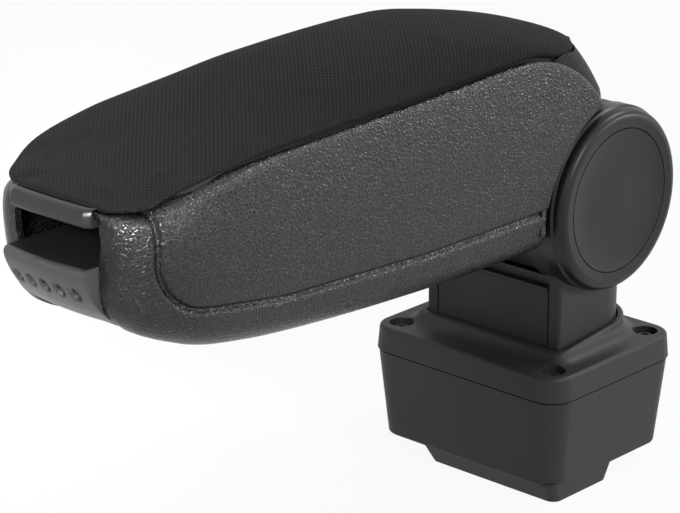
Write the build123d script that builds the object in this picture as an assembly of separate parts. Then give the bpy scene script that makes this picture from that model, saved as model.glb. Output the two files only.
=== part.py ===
"""Foldable car centre armrest: plug, flange, post and hinge, grained arm with a storage tray, padded lid.

Frame: +Z up, the arm points to -Y, X runs across it. The origin is on the floor of the plug's lower block,
under the middle of the flange. Lengths are in millimetres.
"""
import os
from math import atan2, cos, degrees, pi, radians, sin

from build123d import *

# Plug that drops into the console
INSERT_WIDTH = 108.8        # across X at its upper edge
INSERT_LENGTH = 88.2        # along Y at its upper edge
INSERT_CORNER = 11.5
INSERT_DEPTH = 42.0
INSERT_DRAFT = 4.0          # each side draws in by this much at the bottom
INSERT_WALL = 2.8
INSERT_EDGE = 1.5           # rounding of the bottom edge
SEAM_GROOVE = 0.9           # shadow line under the flange
RIB_THICK = 2.0

# Lower block on the front right corner of the plug
BLOCK_DEPTH = 8.0
BLOCK_LENGTH_X = 76.5
BLOCK_LENGTH_Y = 45.5
BLOCK_CORNER = 4.5
BLOCK_SHY = 0.8             # inside the plug's front and right faces
BLOCK_DRAFT_FRONT = 3.6
BLOCK_DRAFT_REAR = 3.4
BLOCK_DRAFT_LEFT = 3.0
BLOCK_DRAFT_RIGHT = 0.8

# Flange with its collar
FLANGE_LIP = 0.6            # proud of the plug all round
FLANGE_HEIGHT = 11.3
FLANGE_DRAFT = 1.0
FLANGE_PLATE = 5.0
FLANGE_WALL = 3.0
FLANGE_EDGE = 1.8
COLLAR_RISE = 9.7           # at the rear
COLLAR_DIP = 5.2            # its rim falls by this much towards the front
COLLAR_WALL = 2.4
COLLAR_GAP = 0.9
COLLAR_SWEEP = 7.5
COLLAR_EDGE = 0.8           # chamfer of its rim

# Corner screws of the flange
CORNER_INSET_X = 10.4       # from the plug's sides
CORNER_INSET_Y = 10.9       # from its front and rear
CORNER_BORE = 11.5
CORNER_BORE_DEPTH = 5.2
CORNER_HEAD = 8.6
CORNER_HEAD_HEIGHT = 3.2
CORNER_SHANK = 4.0
CORNER_SCREW_LENGTH = 26.0
BOSS_WALL = 2.6
SCREW_PLAY = 0.06           # radial room round every shank
BLIND_SKIN = 1.0            # left under a blind hole
HEAD_ROUND = 0.45           # rounding of a screw head, in head heights
SOCKET_SIZE = 0.24          # radius of its hexagon socket, in head diameters
SOCKET_DEPTH = 0.55         # depth of that socket, in head heights

# Post
POST_WIDTH = 76.8
POST_FRONT_INSET = 22.0     # behind the plug's front
POST_REAR_INSET = 12.1      # in front of the plug's rear
POST_REAR_ROUND = 20.0
POST_FRONT_ROUND = 1.6
POST_WALL = 4.0
POST_ROOF = 5.0             # under the saddle
FOOT_THICK = 4.0
FOOT_WIDTH = 56.0
FOOT_REACH = 11.0           # in front of the post
FOOT_REACH_REAR = 6.6       # behind it
FOOT_SCREW_HEAD = 7.6
FOOT_SCREW_HEAD_HEIGHT = 2.8
FOOT_SCREW_SHANK = 4.0
FOOT_SCREW_X = 18.0
FOOT_SCREW_INSET = 5.2      # from the foot's front and rear edges

# Front panel of the post
PANEL_WIDTH = 63.0
PANEL_THICK = 2.2
PANEL_GAP = 0.8
PANEL_TOP = 44.0            # above the flange's seam
PANEL_LIP = 1.1
PANEL_LIP_HEIGHT = 2.0

# Main hinge
HINGE_Y = 2.8
HINGE_RISE = 82.3           # above the seam between flange and plug
EAR_RADIUS = 41.2
EAR_THICK = 10.2
SADDLE_GAP = 2.0            # between the knuckle's drum and the post
BOLT = 10.0
BOLT_HEAD = 16.0            # across flats
BOLT_HEAD_HEIGHT = 6.4
BOLT_PAST_NUT = 0.6
NUT_HEIGHT = 5.6
WASHER_OD = 24.0
WASHER_THICK = 2.0
THRUST_OD = 52.0
THRUST_ID = 18.0
THRUST_THICK = 1.5
BUSH_OD = 16.0
BUSH_LENGTH = 18.0
BUSH_HEAD = 21.0
BUSH_HEAD_THICK = 2.0
BUSH_PLAY = 0.05            # radial, between bush and bolt

# Round caps
CAP_RADIUS = 41.7
CAP_DEPTH = 12.4
CAP_SIDE = 6.6              # straight part of its side
CAP_STEP = 0.9
CAP_FACE_RADIUS = 36.5
CAP_WALL = 2.4
CAP_FACE_FALL = 0.5         # the face ring falls this much towards the disc
CAP_GROOVE = 0.5            # gap round the disc
DISC_RADIUS = 32.0
DISC_THICK = 1.8
DISC_DISH = 1.3
DISC_LEDGE = 3.0

# Arm shell, measured from the hinge axis
ARM_WIDTH = 100.0
ARM_REACH = 282.0           # hinge axis to the front of the horns
ARM_FLOOR = -14.8           # underside at the rear
CHEEK_BELLY = 38.0          # height of the widest place
CHEEK_TUCK_TOP = 3.5        # narrower at the upper rim
CHEEK_TUCK_FOOT = 5.5       # narrower at the underside
CHEEK_ROUND = 13.0
SHELL_WALL = 3.0
SEAM_RISE = 74.0            # rim of the cheeks at the rear
SEAM_ARC = 60.0             # the rim rounds down to the hinge on this radius
SEAM_ARC_START = -62.0
SWEEP_RADIUS = 47.5         # rear edge of the arm round the hinge
RELIEF_WIDTH = 2.6
RELIEF_DEPTH = 1.8
RELIEF_CORNER = 32.0
FRONT_HALF = 22.0           # half width of fascia and grip
FRONT_GAP = 0.5
FRONT_NOTCH = 22.0          # depth of the opening between the horns

# Distance behind the horns' front, how far each side draws in, rise of the underside
HORN_STATIONS = [(0.0, 21.0, 35.3), (2.0, 17.4, 32.6), (5.0, 13.5, 29.4), (9.0, 10.4, 26.0), (13.0, 8.0, 23.0),
                 (19.0, 5.6, 20.0), (26.0, 3.7, 17.2), (35.0, 2.3, 14.0), (46.0, 1.2, 11.6), (57.0, 0.6, 9.9),
                 (69.0, 0.2, 8.3), (101.0, 0.0, 5.2), (140.0, 0.0, 2.6), (180.0, 0.0, 0.8)]
# Corners of the groove round the cheek panel: distance behind the horns' front, height
RELIEF_STATIONS = [(12.0, 19.6), (75.0, 10.9), (162.0, 6.2), (282.0, 5.0)]
# Rim of the shell: distance behind the horns' front, height
SEAM_STATIONS = [(-6.0, 58.3), (14.0, 58.8), (26.0, 64.0), (43.0, 67.6), (68.0, 69.7), (104.0, 70.8),
                 (144.0, 71.9), (184.0, 73.1)]
SEAM_BACK = -69.0

# Knuckle
KNUCKLE_RADIUS = 39.0
KNUCKLE_HALF = 26.5
KNUCKLE_WEB = 5.0
KNUCKLE_RIM = 4.0
KNUCKLE_HUB = 26.0
NECK_TOP = 29.0
NECK_HALF = 25.0
NECK_PLAY = 1.5
NECK_TURN = 40.0            # the neck meets the drum at this angle above its middle
TONGUE_SEAT = -5.0
TONGUE_THICK = 5.0
TONGUE_FRONT = -116.0
TONGUE_SCREW_X = 17.0
TONGUE_SCREW_YS = (-70.0, -104.0)
TONGUE_HEAD = 9.0
TONGUE_HEAD_HEIGHT = 3.2
TONGUE_SHANK = 5.0

# Storage tray
TRAY_SEAT = 6.0
TRAY_TOP = 60.0
TRAY_REAR = -60.0
TRAY_FRONT_INSET = 46.0     # behind the horns' front
TRAY_HALF_TOP = 41.5
TRAY_HALF_FLOOR = 37.0
TRAY_CORNER = 10.0
TRAY_WALL = 2.2
TRAY_BOSS = 9.0
TRAY_SCREW_X = 30.5
TRAY_SCREW_INSET = 16.0
TRAY_HEAD = 7.6
TRAY_HEAD_HEIGHT = 2.4
TRAY_SHANK = 4.0

# Fascia under the finger slot
FASCIA_TOP = 37.2
FASCIA_FRONT = 5.5          # top edge in front of the horns, at the ends
FASCIA_BOW = 4.0            # the middle stands further out by this much
FASCIA_BELLY = 9.5          # height of the foremost line under the top
FASCIA_WALL = 2.6
FASCIA_TAIL = 9.0
FASCIA_PAD = 4.0            # its tail lies this much above the shell's floor
FASCIA_SWELL = 1.2          # the belly stands further out than the top edge
FASCIA_UNDER = 7.4          # the lower edge lies this far behind the top edge
FASCIA_UNDER_BACK = 9.2     # the same on its inner face
FASCIA_SCREW_X = 13.0
FASCIA_SHANK = 3.5
FASCIA_HEAD = 6.6
FASCIA_HEAD_HEIGHT = 2.0
DIMPLES = 5
DIMPLE = 5.6
DIMPLE_DEPTH = 1.9
DIMPLE_PITCH = 8.0
DIMPLE_DROP = 10.8
DIMPLE_ROUND = 0.6          # rounding of the cup's floor, in depths

# Rear cover
COVER_CROWN_FRONT = 29.0
COVER_CROWN_REAR = 17.6
COVER_TOP_TURN = 64.0       # the ridge runs between these two places on the rim's arc, in degrees
COVER_FOOT_TURN = 35.0
COVER_BASE = 20.0           # its section reaches this far below the ridge's base line
COVER_REACH = 47.0          # its sides run this far in front of the lid's pin
COVER_RUN_BACK = 30.0
COVER_RUN_ON = 50.0
COVER_WALL = 2.6
COVER_SHOULDER = 2.8        # exponent of the crowned section
COVER_GAP = 0.4

# Lid
LID_AXIS_Y = 3.0
LID_AXIS_Z = 64.5
LID_PIN = 2.8
LID_PIN_PLAY = 0.05
LID_BARREL = 5.2
LID_BARREL_HALF = 11.0
LUG_GAP = 0.4
LUG_THICK = 5.0
LID_NOSE = 4.7              # clear radius round the lid's pin
SHELF_PAST = 2.0            # the bulkhead's top runs this far past the lugs
LID_GAP = 0.6               # under the lid's board
LID_END_GAP = 1.4           # round the lid's rear end, so that it can swing up
LID_BOARD = 3.4
LID_INSET = 4.2             # board inside the pad's edge
BOARD_FRONT = 12.0          # behind the horns' front
BOARD_FRONT_ROUND = 26.0
BOARD_REAR_FLAT = 2.3       # half of what is straight between its rear corners
PAD_END_ROUND = 46.0
PAD_END_PAST = 2.0          # the round end lies this far past the last station
PAD_SHOULDER = 2.3          # exponent of the crowned section
# Distance behind the horns' front, draw-in of each side, underside, crown
PAD_FRONT_STATIONS = [(1.0, 18.0, 59.1, 61.9), (3.5, 12.7, 59.2, 63.2), (7.0, 9.0, 59.3, 64.6),
                      (14.0, 5.0, 59.8, 66.8), (28.0, 1.4, 65.4, 70.2), (46.0, 0.4, 68.6, 73.4),
                      (70.0, 0.0, 70.5, 77.4), (100.0, 0.0, 71.4, 81.8)]
# Place along Y, draw-in of each side, underside, crown
PAD_REAR_STATIONS = [(-148.0, 0.0, 72.4, 85.2), (-112.0, 0.0, 73.4, 86.0), (-85.0, 0.1, 74.2, 85.4),
                     (-62.0, 0.3, 74.7, 83.6), (-52.0, 0.5, 73.9, 82.6), (-43.0, 0.8, 71.7, 81.4),
                     (-25.0, 4.4, 68.2, 78.2), (-10.0, 14.3, 66.4, 74.2), (-3.0, 23.8, 66.2, 70.6),
                     (1.0, 32.9, 66.2, 68.4)]

# Grip bar of the lid
GRIP_TOP = 60.6
GRIP_LOW = 53.6
GRIP_FRONT = 3.0            # in front of the horns, at the ends
GRIP_THICK = 3.6
GRIP_ROUND = 1.6
GRIP_TONGUE = 2.4
GRIP_TONGUE_BACK = 20.0
GRIP_SCREW_X = 12.0
GRIP_SHANK = 3.0
GRIP_HEAD = 5.6
GRIP_HEAD_HEIGHT = 1.8
BUMPER = 8.0
BUMPER_X = 30.0
BUMPER_GAP = 0.3

# Worked out from the sizes above
SEAM_Z = BLOCK_DEPTH + INSERT_DEPTH
HINGE_Z = SEAM_Z + HINGE_RISE
HINGE = Pos(0, HINGE_Y, HINGE_Z)
FLANGE_WIDTH = INSERT_WIDTH + 2 * FLANGE_LIP
FLANGE_LENGTH = INSERT_LENGTH + 2 * FLANGE_LIP
FLANGE_TOP = SEAM_Z + FLANGE_HEIGHT
COLLAR_TOP = FLANGE_TOP + COLLAR_RISE
PLATE_UNDER = FLANGE_TOP - FLANGE_PLATE
CORNER_SCREW_X = INSERT_WIDTH / 2 - CORNER_INSET_X
CORNER_SCREW_Y = INSERT_LENGTH / 2 - CORNER_INSET_Y
POST_HALF = POST_WIDTH / 2
POST_FRONT = POST_FRONT_INSET - INSERT_LENGTH / 2
POST_REAR = INSERT_LENGTH / 2 - POST_REAR_INSET
EAR_INNER = POST_HALF - EAR_THICK
SADDLE_RADIUS = KNUCKLE_RADIUS + SADDLE_GAP
FOOT_FRONT = POST_FRONT - FOOT_REACH
FOOT_REAR = POST_REAR + FOOT_REACH_REAR
ARM_HALF = ARM_WIDTH / 2
HORN_Y = -ARM_REACH
PAD_HALF = ARM_HALF - CHEEK_TUCK_TOP
TRAY_FRONT = HORN_Y + TRAY_FRONT_INSET
BULKHEAD_RADIUS = SWEEP_RADIUS + SHELL_WALL
LUG_OUTER = LID_BARREL_HALF + LUG_GAP + LUG_THICK
BOW_RADIUS = (FRONT_HALF ** 2 + FASCIA_BOW ** 2) / (2 * FASCIA_BOW)
FAR = 400.0                 # longer than anything that is cut
ARCH_STEPS = 8              # points along a crowned section


def block(x0, x1, y0, y1, z0, z1):
    """Box between two corners."""
    return Pos((x0 + x1) / 2, (y0 + y1) / 2, (z0 + z1) / 2) * Box(x1 - x0, y1 - y0, z1 - z0)


def roller(radius, x0, x1, y=0.0, z=0.0):
    """Cylinder that lies along X."""
    return Pos((x0 + x1) / 2, y, z) * Rot(0, 90, 0) * Cylinder(radius, x1 - x0)


def upright(radius, x, y, z0, z1):
    """Cylinder that stands along Z."""
    return Pos(x, y, (z0 + z1) / 2) * Cylinder(radius, z1 - z0)


def both_sides(half):
    """A part and its mirror image across the middle plane."""
    return half + mirror(half, Plane.YZ)


def side_slab(outline, half):
    """Outline in Y and Z, carried out to both sides."""
    return extrude(Plane.YZ * make_face(outline), half, both=True)


def pan_screw(head, head_height, shank, length):
    """Screw with its head on z = 0 and the shank going down."""
    top = upright(head / 2, 0, 0, 0, head_height)
    top = fillet(top.edges().group_by(Axis.Z)[-1], head_height * HEAD_ROUND)
    hexagon_face = Pos(0, 0, head_height) * RegularPolygon(head * SOCKET_SIZE, 6)
    socket = extrude(hexagon_face, -head_height * SOCKET_DEPTH)
    return top - socket + upright(shank / 2, 0, 0, -length, 0)


def group(solids):
    """Several like pieces in one node."""
    return Compound(children=[solid.solid() for solid in solids])


def corner_places(x, y):
    """The four mirror places of one point."""
    return [(i * x, j * y) for i in (-1, 1) for j in (-1, 1)]


# Base: plug, flange and post

def plug_face(z, inset=0.0):
    """Rounded outline of the plug at one height."""
    draw = INSERT_DRAFT * (SEAM_Z - z) / INSERT_DEPTH + inset
    return Pos(0, 0, z) * RectangleRounded(
        INSERT_WIDTH - 2 * draw, INSERT_LENGTH - 2 * draw, INSERT_CORNER - draw / 2)


def block_face(z, inset=0.0):
    """Outline of the lower block at one height; each of its sides has its own draft."""
    part_down = (BLOCK_DEPTH - z) / BLOCK_DEPTH
    right = INSERT_WIDTH / 2 - INSERT_DRAFT - BLOCK_SHY - BLOCK_DRAFT_RIGHT * part_down - inset
    left = (INSERT_WIDTH / 2 - INSERT_DRAFT - BLOCK_SHY - BLOCK_LENGTH_X
            + BLOCK_DRAFT_LEFT * part_down + inset)
    front = -INSERT_LENGTH / 2 + INSERT_DRAFT + BLOCK_SHY + BLOCK_DRAFT_FRONT * part_down + inset
    rear = (-INSERT_LENGTH / 2 + INSERT_DRAFT + BLOCK_SHY + BLOCK_LENGTH_Y
            - BLOCK_DRAFT_REAR * part_down - inset)
    return Pos((left + right) / 2, (front + rear) / 2, z) * RectangleRounded(
        right - left, rear - front, BLOCK_CORNER - inset / 2)


def insert_box():
    """Drafted hollow plug with its lower block, bosses and ribs."""
    box = loft([plug_face(BLOCK_DEPTH), plug_face(SEAM_Z)])
    box = fillet(box.edges().group_by(Axis.Z)[0], INSERT_EDGE)
    body = box + loft([block_face(0), block_face(BLOCK_DEPTH)])
    body = body + extrude(block_face(BLOCK_DEPTH), INSERT_EDGE)
    floor = BLOCK_DEPTH + INSERT_WALL
    hollow = loft([plug_face(floor, INSERT_WALL), plug_face(SEAM_Z, INSERT_WALL)])
    pit = loft([block_face(INSERT_WALL, INSERT_WALL), block_face(BLOCK_DEPTH, INSERT_WALL)])
    pit = pit + extrude(block_face(BLOCK_DEPTH, INSERT_WALL), INSERT_WALL)
    inside = loft([plug_face(BLOCK_DEPTH, INSERT_WALL / 2), plug_face(SEAM_Z, INSERT_WALL / 2)])
    boss_radius = CORNER_SHANK / 2 + BOSS_WALL
    bosses = Part()
    for x, y in corner_places(CORNER_SCREW_X, CORNER_SCREW_Y):
        bosses += upright(boss_radius, x, y, floor - INSERT_WALL / 2, SEAM_Z)
        bosses += Pos(x, y) * block(-RIB_THICK / 2, RIB_THICK / 2, min(0, y), max(0, y),
                                    floor - INSERT_WALL / 2, SEAM_Z - CORNER_BORE_DEPTH)
        bosses += Pos(x, y) * block(min(0, x), max(0, x), -RIB_THICK / 2, RIB_THICK / 2,
                                    floor - INSERT_WALL / 2, SEAM_Z - CORNER_BORE_DEPTH)
    body = body - hollow - pit + (bosses & inside)
    ring = extrude(plug_face(SEAM_Z, -FLANGE_LIP), -SEAM_GROOVE)
    body -= ring - extrude(plug_face(SEAM_Z, SEAM_GROOVE), -SEAM_GROOVE)
    for x, y in corner_places(CORNER_SCREW_X, CORNER_SCREW_Y):
        depth = CORNER_SCREW_LENGTH
        body -= upright(CORNER_SHANK / 2 + SCREW_PLAY, x, y, SEAM_Z - depth, SEAM_Z)
    return body


def post_outline(grow=0.0):
    """Plan of the post: flat front, rounded rear."""
    front = POST_FRONT - grow
    rear = POST_REAR + grow
    plan = Pos(0, (front + rear) / 2) * Rectangle(POST_WIDTH + 2 * grow, rear - front)
    plan = fillet(plan.vertices().group_by(Axis.Y)[-1], POST_REAR_ROUND + grow)
    return fillet(plan.vertices().group_by(Axis.Y)[0], max(POST_FRONT_ROUND + grow, RIB_THICK / 4))


def flange_face(z, inset=0.0):
    """Rounded outline of the flange at one height."""
    draw = FLANGE_DRAFT * (z - SEAM_Z) / FLANGE_HEIGHT + inset
    return Pos(0, 0, z) * RectangleRounded(
        FLANGE_WIDTH - 2 * draw, FLANGE_LENGTH - 2 * draw, INSERT_CORNER + FLANGE_LIP - draw)


def base_flange():
    """Hollow cover plate that sweeps up into the collar round the post."""
    plate = loft([flange_face(SEAM_Z), flange_face(FLANGE_TOP)])
    plate = fillet(plate.edges().group_by(Axis.Z)[-1], FLANGE_EDGE)
    grow = COLLAR_GAP + COLLAR_WALL
    collar = extrude(Pos(0, 0, PLATE_UNDER) * post_outline(grow), COLLAR_TOP - PLATE_UNDER)
    body = plate + collar
    root = [edge for edge in body.edges()
            if abs(edge.center().Z - FLANGE_TOP) < RIB_THICK / 8 and abs(edge.center().X) <= POST_HALF + grow
            and POST_FRONT - COLLAR_SWEEP < edge.center().Y < POST_REAR + COLLAR_SWEEP]
    body = fillet(root, COLLAR_SWEEP)
    front = POST_FRONT - grow
    rear = POST_REAR + grow
    low = COLLAR_TOP - COLLAR_DIP
    above = Polyline((-FAR, low), (front, low), (rear, COLLAR_TOP), (rear, FAR), (-FAR, FAR), close=True)
    body -= side_slab([above], FLANGE_WIDTH)
    rim = body.faces().sort_by(Axis.Z)[-1]
    body = chamfer(rim.outer_wire().edges(), COLLAR_EDGE)
    body -= loft([flange_face(SEAM_Z, FLANGE_WALL), flange_face(PLATE_UNDER, FLANGE_WALL)])
    boss_radius = CORNER_BORE / 2 + BOSS_WALL / 2
    bosses = Part()
    for x, y in corner_places(CORNER_SCREW_X, CORNER_SCREW_Y):
        bosses += upright(boss_radius, x, y, SEAM_Z, PLATE_UNDER)
    body += bosses & loft([flange_face(SEAM_Z, FLANGE_LIP), flange_face(FLANGE_TOP, FLANGE_LIP)])
    body -= extrude(Pos(0, 0, SEAM_Z) * post_outline(COLLAR_GAP), FAR)
    for x, y in corner_places(CORNER_SCREW_X, CORNER_SCREW_Y):
        body -= upright(CORNER_BORE / 2, x, y, FLANGE_TOP - CORNER_BORE_DEPTH, COLLAR_TOP)
        body -= upright(CORNER_SHANK / 2 + SCREW_PLAY, x, y, SEAM_Z, FLANGE_TOP)
    for x, y in foot_screw_places():
        body -= upright(FOOT_SCREW_SHANK / 2 + SCREW_PLAY, x, y, PLATE_UNDER, PLATE_UNDER + foot_screw_bite())
    return body


def base_screws():
    """Four screws that draw the flange down on the plug."""
    screw = pan_screw(CORNER_HEAD, CORNER_HEAD_HEIGHT, CORNER_SHANK, CORNER_SCREW_LENGTH)
    seat = FLANGE_TOP - CORNER_BORE_DEPTH
    return group([Pos(x, y, seat) * screw for x, y in corner_places(CORNER_SCREW_X, CORNER_SCREW_Y)])


def foot_screw_places():
    """Screws in front of the post and behind it."""
    rows = (FOOT_FRONT + FOOT_SCREW_INSET, FOOT_REAR - FOOT_SCREW_INSET / 2 - SCREW_PLAY)
    return [(i * FOOT_SCREW_X, y) for i in (-1, 1) for y in rows]


def foot_screw_bite():
    """Depth of the blind holes for the foot's screws."""
    return FLANGE_PLATE - BLIND_SKIN


def post_body():
    """Hollow post with a foot, two round ears and a saddle for the knuckle."""
    foot_z = PLATE_UNDER - FOOT_THICK
    body = extrude(Pos(0, 0, foot_z) * post_outline(), HINGE_Z - foot_z)
    body += block(-FOOT_WIDTH / 2, FOOT_WIDTH / 2, FOOT_FRONT, FOOT_REAR, foot_z, PLATE_UNDER)
    body += HINGE * both_sides(roller(EAR_RADIUS, EAR_INNER, POST_HALF))
    body -= HINGE * roller(SADDLE_RADIUS, -EAR_INNER, EAR_INNER)
    body -= HINGE * block(-EAR_INNER, EAR_INNER, -FAR, FAR, 0, FAR)
    roof = HINGE_Z - SADDLE_RADIUS - POST_ROOF
    body -= extrude(Pos(0, 0, foot_z) * post_outline(-POST_WALL), roof - foot_z)
    recess = PANEL_WIDTH / 2 + PANEL_GAP
    body -= block(-recess, recess, POST_FRONT - PANEL_GAP, POST_FRONT + PANEL_THICK,
                  panel_foot() - PANEL_GAP, HINGE_Z)
    body -= HINGE * roller(BOLT / 2 + SCREW_PLAY, -POST_HALF, POST_HALF)
    for x, y in foot_screw_places():
        body -= upright(FOOT_SCREW_SHANK / 2 + SCREW_PLAY, x, y, foot_z, PLATE_UNDER)
    return body


def panel_foot():
    """Lower edge of the front panel, inside the collar."""
    return FLANGE_TOP + COLLAR_EDGE


def post_front_panel():
    """Flat cover let into the post, with a small lip along its top."""
    half = PANEL_WIDTH / 2
    top = SEAM_Z + PANEL_TOP
    back = POST_FRONT + PANEL_THICK
    panel = block(-half, half, POST_FRONT, back, panel_foot(), top)
    lip = block(-half, half, POST_FRONT - PANEL_LIP, back, top - PANEL_LIP_HEIGHT, top)
    return panel + fillet(lip.edges().filter_by(Axis.X).group_by(Axis.Y)[0], PANEL_LIP / 2)


def post_screws():
    """Four screws from below through the foot."""
    length = FOOT_THICK + foot_screw_bite() - SCREW_PLAY
    screw = pan_screw(FOOT_SCREW_HEAD, FOOT_SCREW_HEAD_HEIGHT, FOOT_SCREW_SHANK, length)
    seat = PLATE_UNDER - FOOT_THICK
    return group([Pos(x, y, seat) * Rot(180, 0, 0) * screw for x, y in foot_screw_places()])


# Main hinge, drawn round the X axis and moved to its place

def cap_shell(side):
    """Round cap on one ear: stepped rim, face ring and a ledge for its disc."""
    seat = POST_HALF
    face = seat + CAP_DEPTH
    shoulder = CAP_RADIUS - CAP_STEP
    ring = DISC_RADIUS + CAP_GROOVE
    ledge = face - CAP_FACE_FALL - DISC_THICK
    outline = [
        Line((seat, CAP_RADIUS - CAP_WALL), (seat, CAP_RADIUS)),
        Line((seat, CAP_RADIUS), (seat + CAP_SIDE, CAP_RADIUS)),
        Line((seat + CAP_SIDE, CAP_RADIUS), (seat + CAP_SIDE + CAP_STEP, shoulder)),
        Spline((seat + CAP_SIDE + CAP_STEP, shoulder), (face, CAP_FACE_RADIUS),
               tangents=[(1, 0), (0.02, -1)]),
        Line((face, CAP_FACE_RADIUS), (face - CAP_FACE_FALL, ring)),
        Line((face - CAP_FACE_FALL, ring), (ledge, ring)),
        Line((ledge, ring), (ledge, DISC_RADIUS - DISC_LEDGE)),
        Line((ledge, DISC_RADIUS - DISC_LEDGE), (ledge - CAP_WALL, DISC_RADIUS - DISC_LEDGE)),
        Line((ledge - CAP_WALL, DISC_RADIUS - DISC_LEDGE), (ledge - CAP_WALL, CAP_FACE_RADIUS - CAP_WALL)),
        Line((ledge - CAP_WALL, CAP_FACE_RADIUS - CAP_WALL), (seat, CAP_RADIUS - CAP_WALL)),
    ]
    cap = HINGE * revolve(make_face(outline), Axis.X, 360)
    return cap if side > 0 else mirror(cap, Plane.YZ)


def cap_disc(side):
    """Dished disc that closes the cap."""
    back = POST_HALF + CAP_DEPTH - CAP_FACE_FALL - DISC_THICK
    rim = back + DISC_THICK
    outline = [
        Line((back - DISC_DISH, 0), (back - DISC_DISH, DISC_RADIUS - DISC_LEDGE - CAP_GROOVE)),
        Line((back - DISC_DISH, DISC_RADIUS - DISC_LEDGE - CAP_GROOVE), (back, DISC_RADIUS - DISC_LEDGE)),
        Line((back, DISC_RADIUS - DISC_LEDGE), (back, DISC_RADIUS)),
        Line((back, DISC_RADIUS), (rim, DISC_RADIUS)),
        Spline((rim, DISC_RADIUS), (rim - DISC_DISH, 0), tangents=[(-0.2, -1), (0, -1)]),
        Line((rim - DISC_DISH, 0), (back - DISC_DISH, 0)),
    ]
    disc = HINGE * revolve(make_face(outline), Axis.X, 360)
    return disc if side > 0 else mirror(disc, Plane.YZ)


def hexagon(x0, x1):
    """Hexagonal prism along X."""
    prism = extrude(RegularPolygon(BOLT_HEAD / 2, 6, major_radius=False), x1 - x0)
    return Pos(x0, 0, 0) * Rot(0, 90, 0) * prism


def hinge_bolt():
    """Bolt from the right ear to the nut at the left one."""
    head = POST_HALF + WASHER_THICK
    end = -(POST_HALF + WASHER_THICK + NUT_HEIGHT + BOLT_PAST_NUT)
    return HINGE * (roller(BOLT / 2, end, head) + hexagon(head, head + BOLT_HEAD_HEIGHT))


def hinge_nut():
    """Lock nut on the left."""
    seat = -(POST_HALF + WASHER_THICK)
    return HINGE * (hexagon(seat - NUT_HEIGHT, seat) - roller(BOLT / 2 + SCREW_PLAY, -FAR, FAR))


def hinge_washers():
    """Plain washers under the bolt head and the nut."""
    ring = roller(WASHER_OD / 2, POST_HALF, POST_HALF + WASHER_THICK) - roller(BOLT / 2 + SCREW_PLAY, 0, FAR)
    return group([HINGE * ring, mirror(HINGE * ring, Plane.YZ)])


def thrust_washers():
    """Plastic rings between the ears and the knuckle."""
    ring = roller(THRUST_OD / 2, EAR_INNER - THRUST_THICK, EAR_INNER) - roller(THRUST_ID / 2, 0, FAR)
    return group([HINGE * ring, mirror(HINGE * ring, Plane.YZ)])


# Arm, drawn from the hinge axis

def across(y):
    """Plane across the arm, with x to the right and y up."""
    return Plane(origin=(0, y, 0), x_dir=(1, 0, 0), z_dir=(0, -1, 0))


def arm_face(y, draw, rise, inset):
    """Section of the arm: flat floor, rounded lower corners and bowed cheeks."""
    half = ARM_HALF - draw - inset
    floor = ARM_FLOOR + rise + inset
    foot = half - CHEEK_TUCK_FOOT
    brow = half - CHEEK_TUCK_TOP
    top = SEAM_RISE + CHEEK_TUCK_FOOT + inset
    outline = [
        Line((-foot, floor), (foot, floor)),
        ThreePointArc((foot, floor), (half, CHEEK_BELLY), (brow, top)),
        Line((brow, top), (-brow, top)),
        ThreePointArc((-brow, top), (-half, CHEEK_BELLY), (-foot, floor)),
    ]
    face = make_face(outline)
    return across(y) * fillet(face.vertices().group_by(Axis.Y)[0], CHEEK_ROUND - inset)


def arm_form(inset=0.0):
    """Full form of the arm, or the same drawn inside by a wall."""
    stations = [(HORN_Y + back + inset, draw, rise) for back, draw, rise in HORN_STATIONS]
    stations += [(SEAM_ARC_START, 0.0, 0.0), (SWEEP_RADIUS + inset, 0.0, 0.0)]
    return loft([arm_face(y, draw, rise, inset) for y, draw, rise in stations], ruled=True)


def floor_at(y):
    """Height of the shell's underside at one place along the arm."""
    places = [(HORN_Y + back, rise) for back, _, rise in HORN_STATIONS] + [(SEAM_ARC_START, 0.0)]
    for (y0, rise0), (y1, rise1) in zip(places, places[1:]):
        if y <= y1:
            return ARM_FLOOR + rise0 + (rise1 - rise0) * (y - y0) / (y1 - y0)
    return ARM_FLOOR


def rim_arc(turn):
    """Place on the arc on which the rim rounds down, at an angle above its end."""
    y = SEAM_ARC_START + SEAM_ARC * cos(radians(turn))
    return (y, SEAM_RISE - SEAM_ARC + SEAM_ARC * sin(radians(turn)))


def under_seam():
    """Everything below the rim, which rounds down to the hinge at the rear."""
    rim = [(HORN_Y + back, height) for back, height in SEAM_STATIONS] + [(SEAM_BACK, SEAM_RISE)]
    end = rim_arc(0)
    low = ARM_FLOOR - SEAM_ARC
    outline = [
        Spline(*rim),
        Line(rim[-1], (SEAM_ARC_START, SEAM_RISE)),
        ThreePointArc((SEAM_ARC_START, SEAM_RISE), rim_arc(COVER_FOOT_TURN), end),
        Line(end, (end[0], low)),
        Line((end[0], low), (rim[0][0], low)),
        Line((rim[0][0], low), rim[0]),
    ]
    return side_slab(outline, ARM_WIDTH)


def relief():
    """Moulded groove round the front and the lower edge of the cheek panel."""
    corners = [(HORN_Y + back, height) for back, height in RELIEF_STATIONS]
    line = FilletPolyline((corners[0][0], SEAM_RISE + RELIEF_CORNER), *corners, radius=RELIEF_CORNER)
    band = extrude(Plane.YZ * trace(line, RELIEF_WIDTH), ARM_WIDTH, both=True)
    return Part() + (band - arm_form(RELIEF_DEPTH))


def tray_screw_places():
    """Screws near the corners of the tray's floor."""
    rows = (TRAY_REAR - TRAY_SCREW_INSET, TRAY_FRONT + TRAY_SCREW_INSET)
    return [(i * TRAY_SCREW_X, y) for i in (-1, 1) for y in rows]


def tongue_screw_places():
    """Screws through the knuckle's tongue."""
    return [(i * TONGUE_SCREW_X, y) for i in (-1, 1) for y in TONGUE_SCREW_YS]


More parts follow.
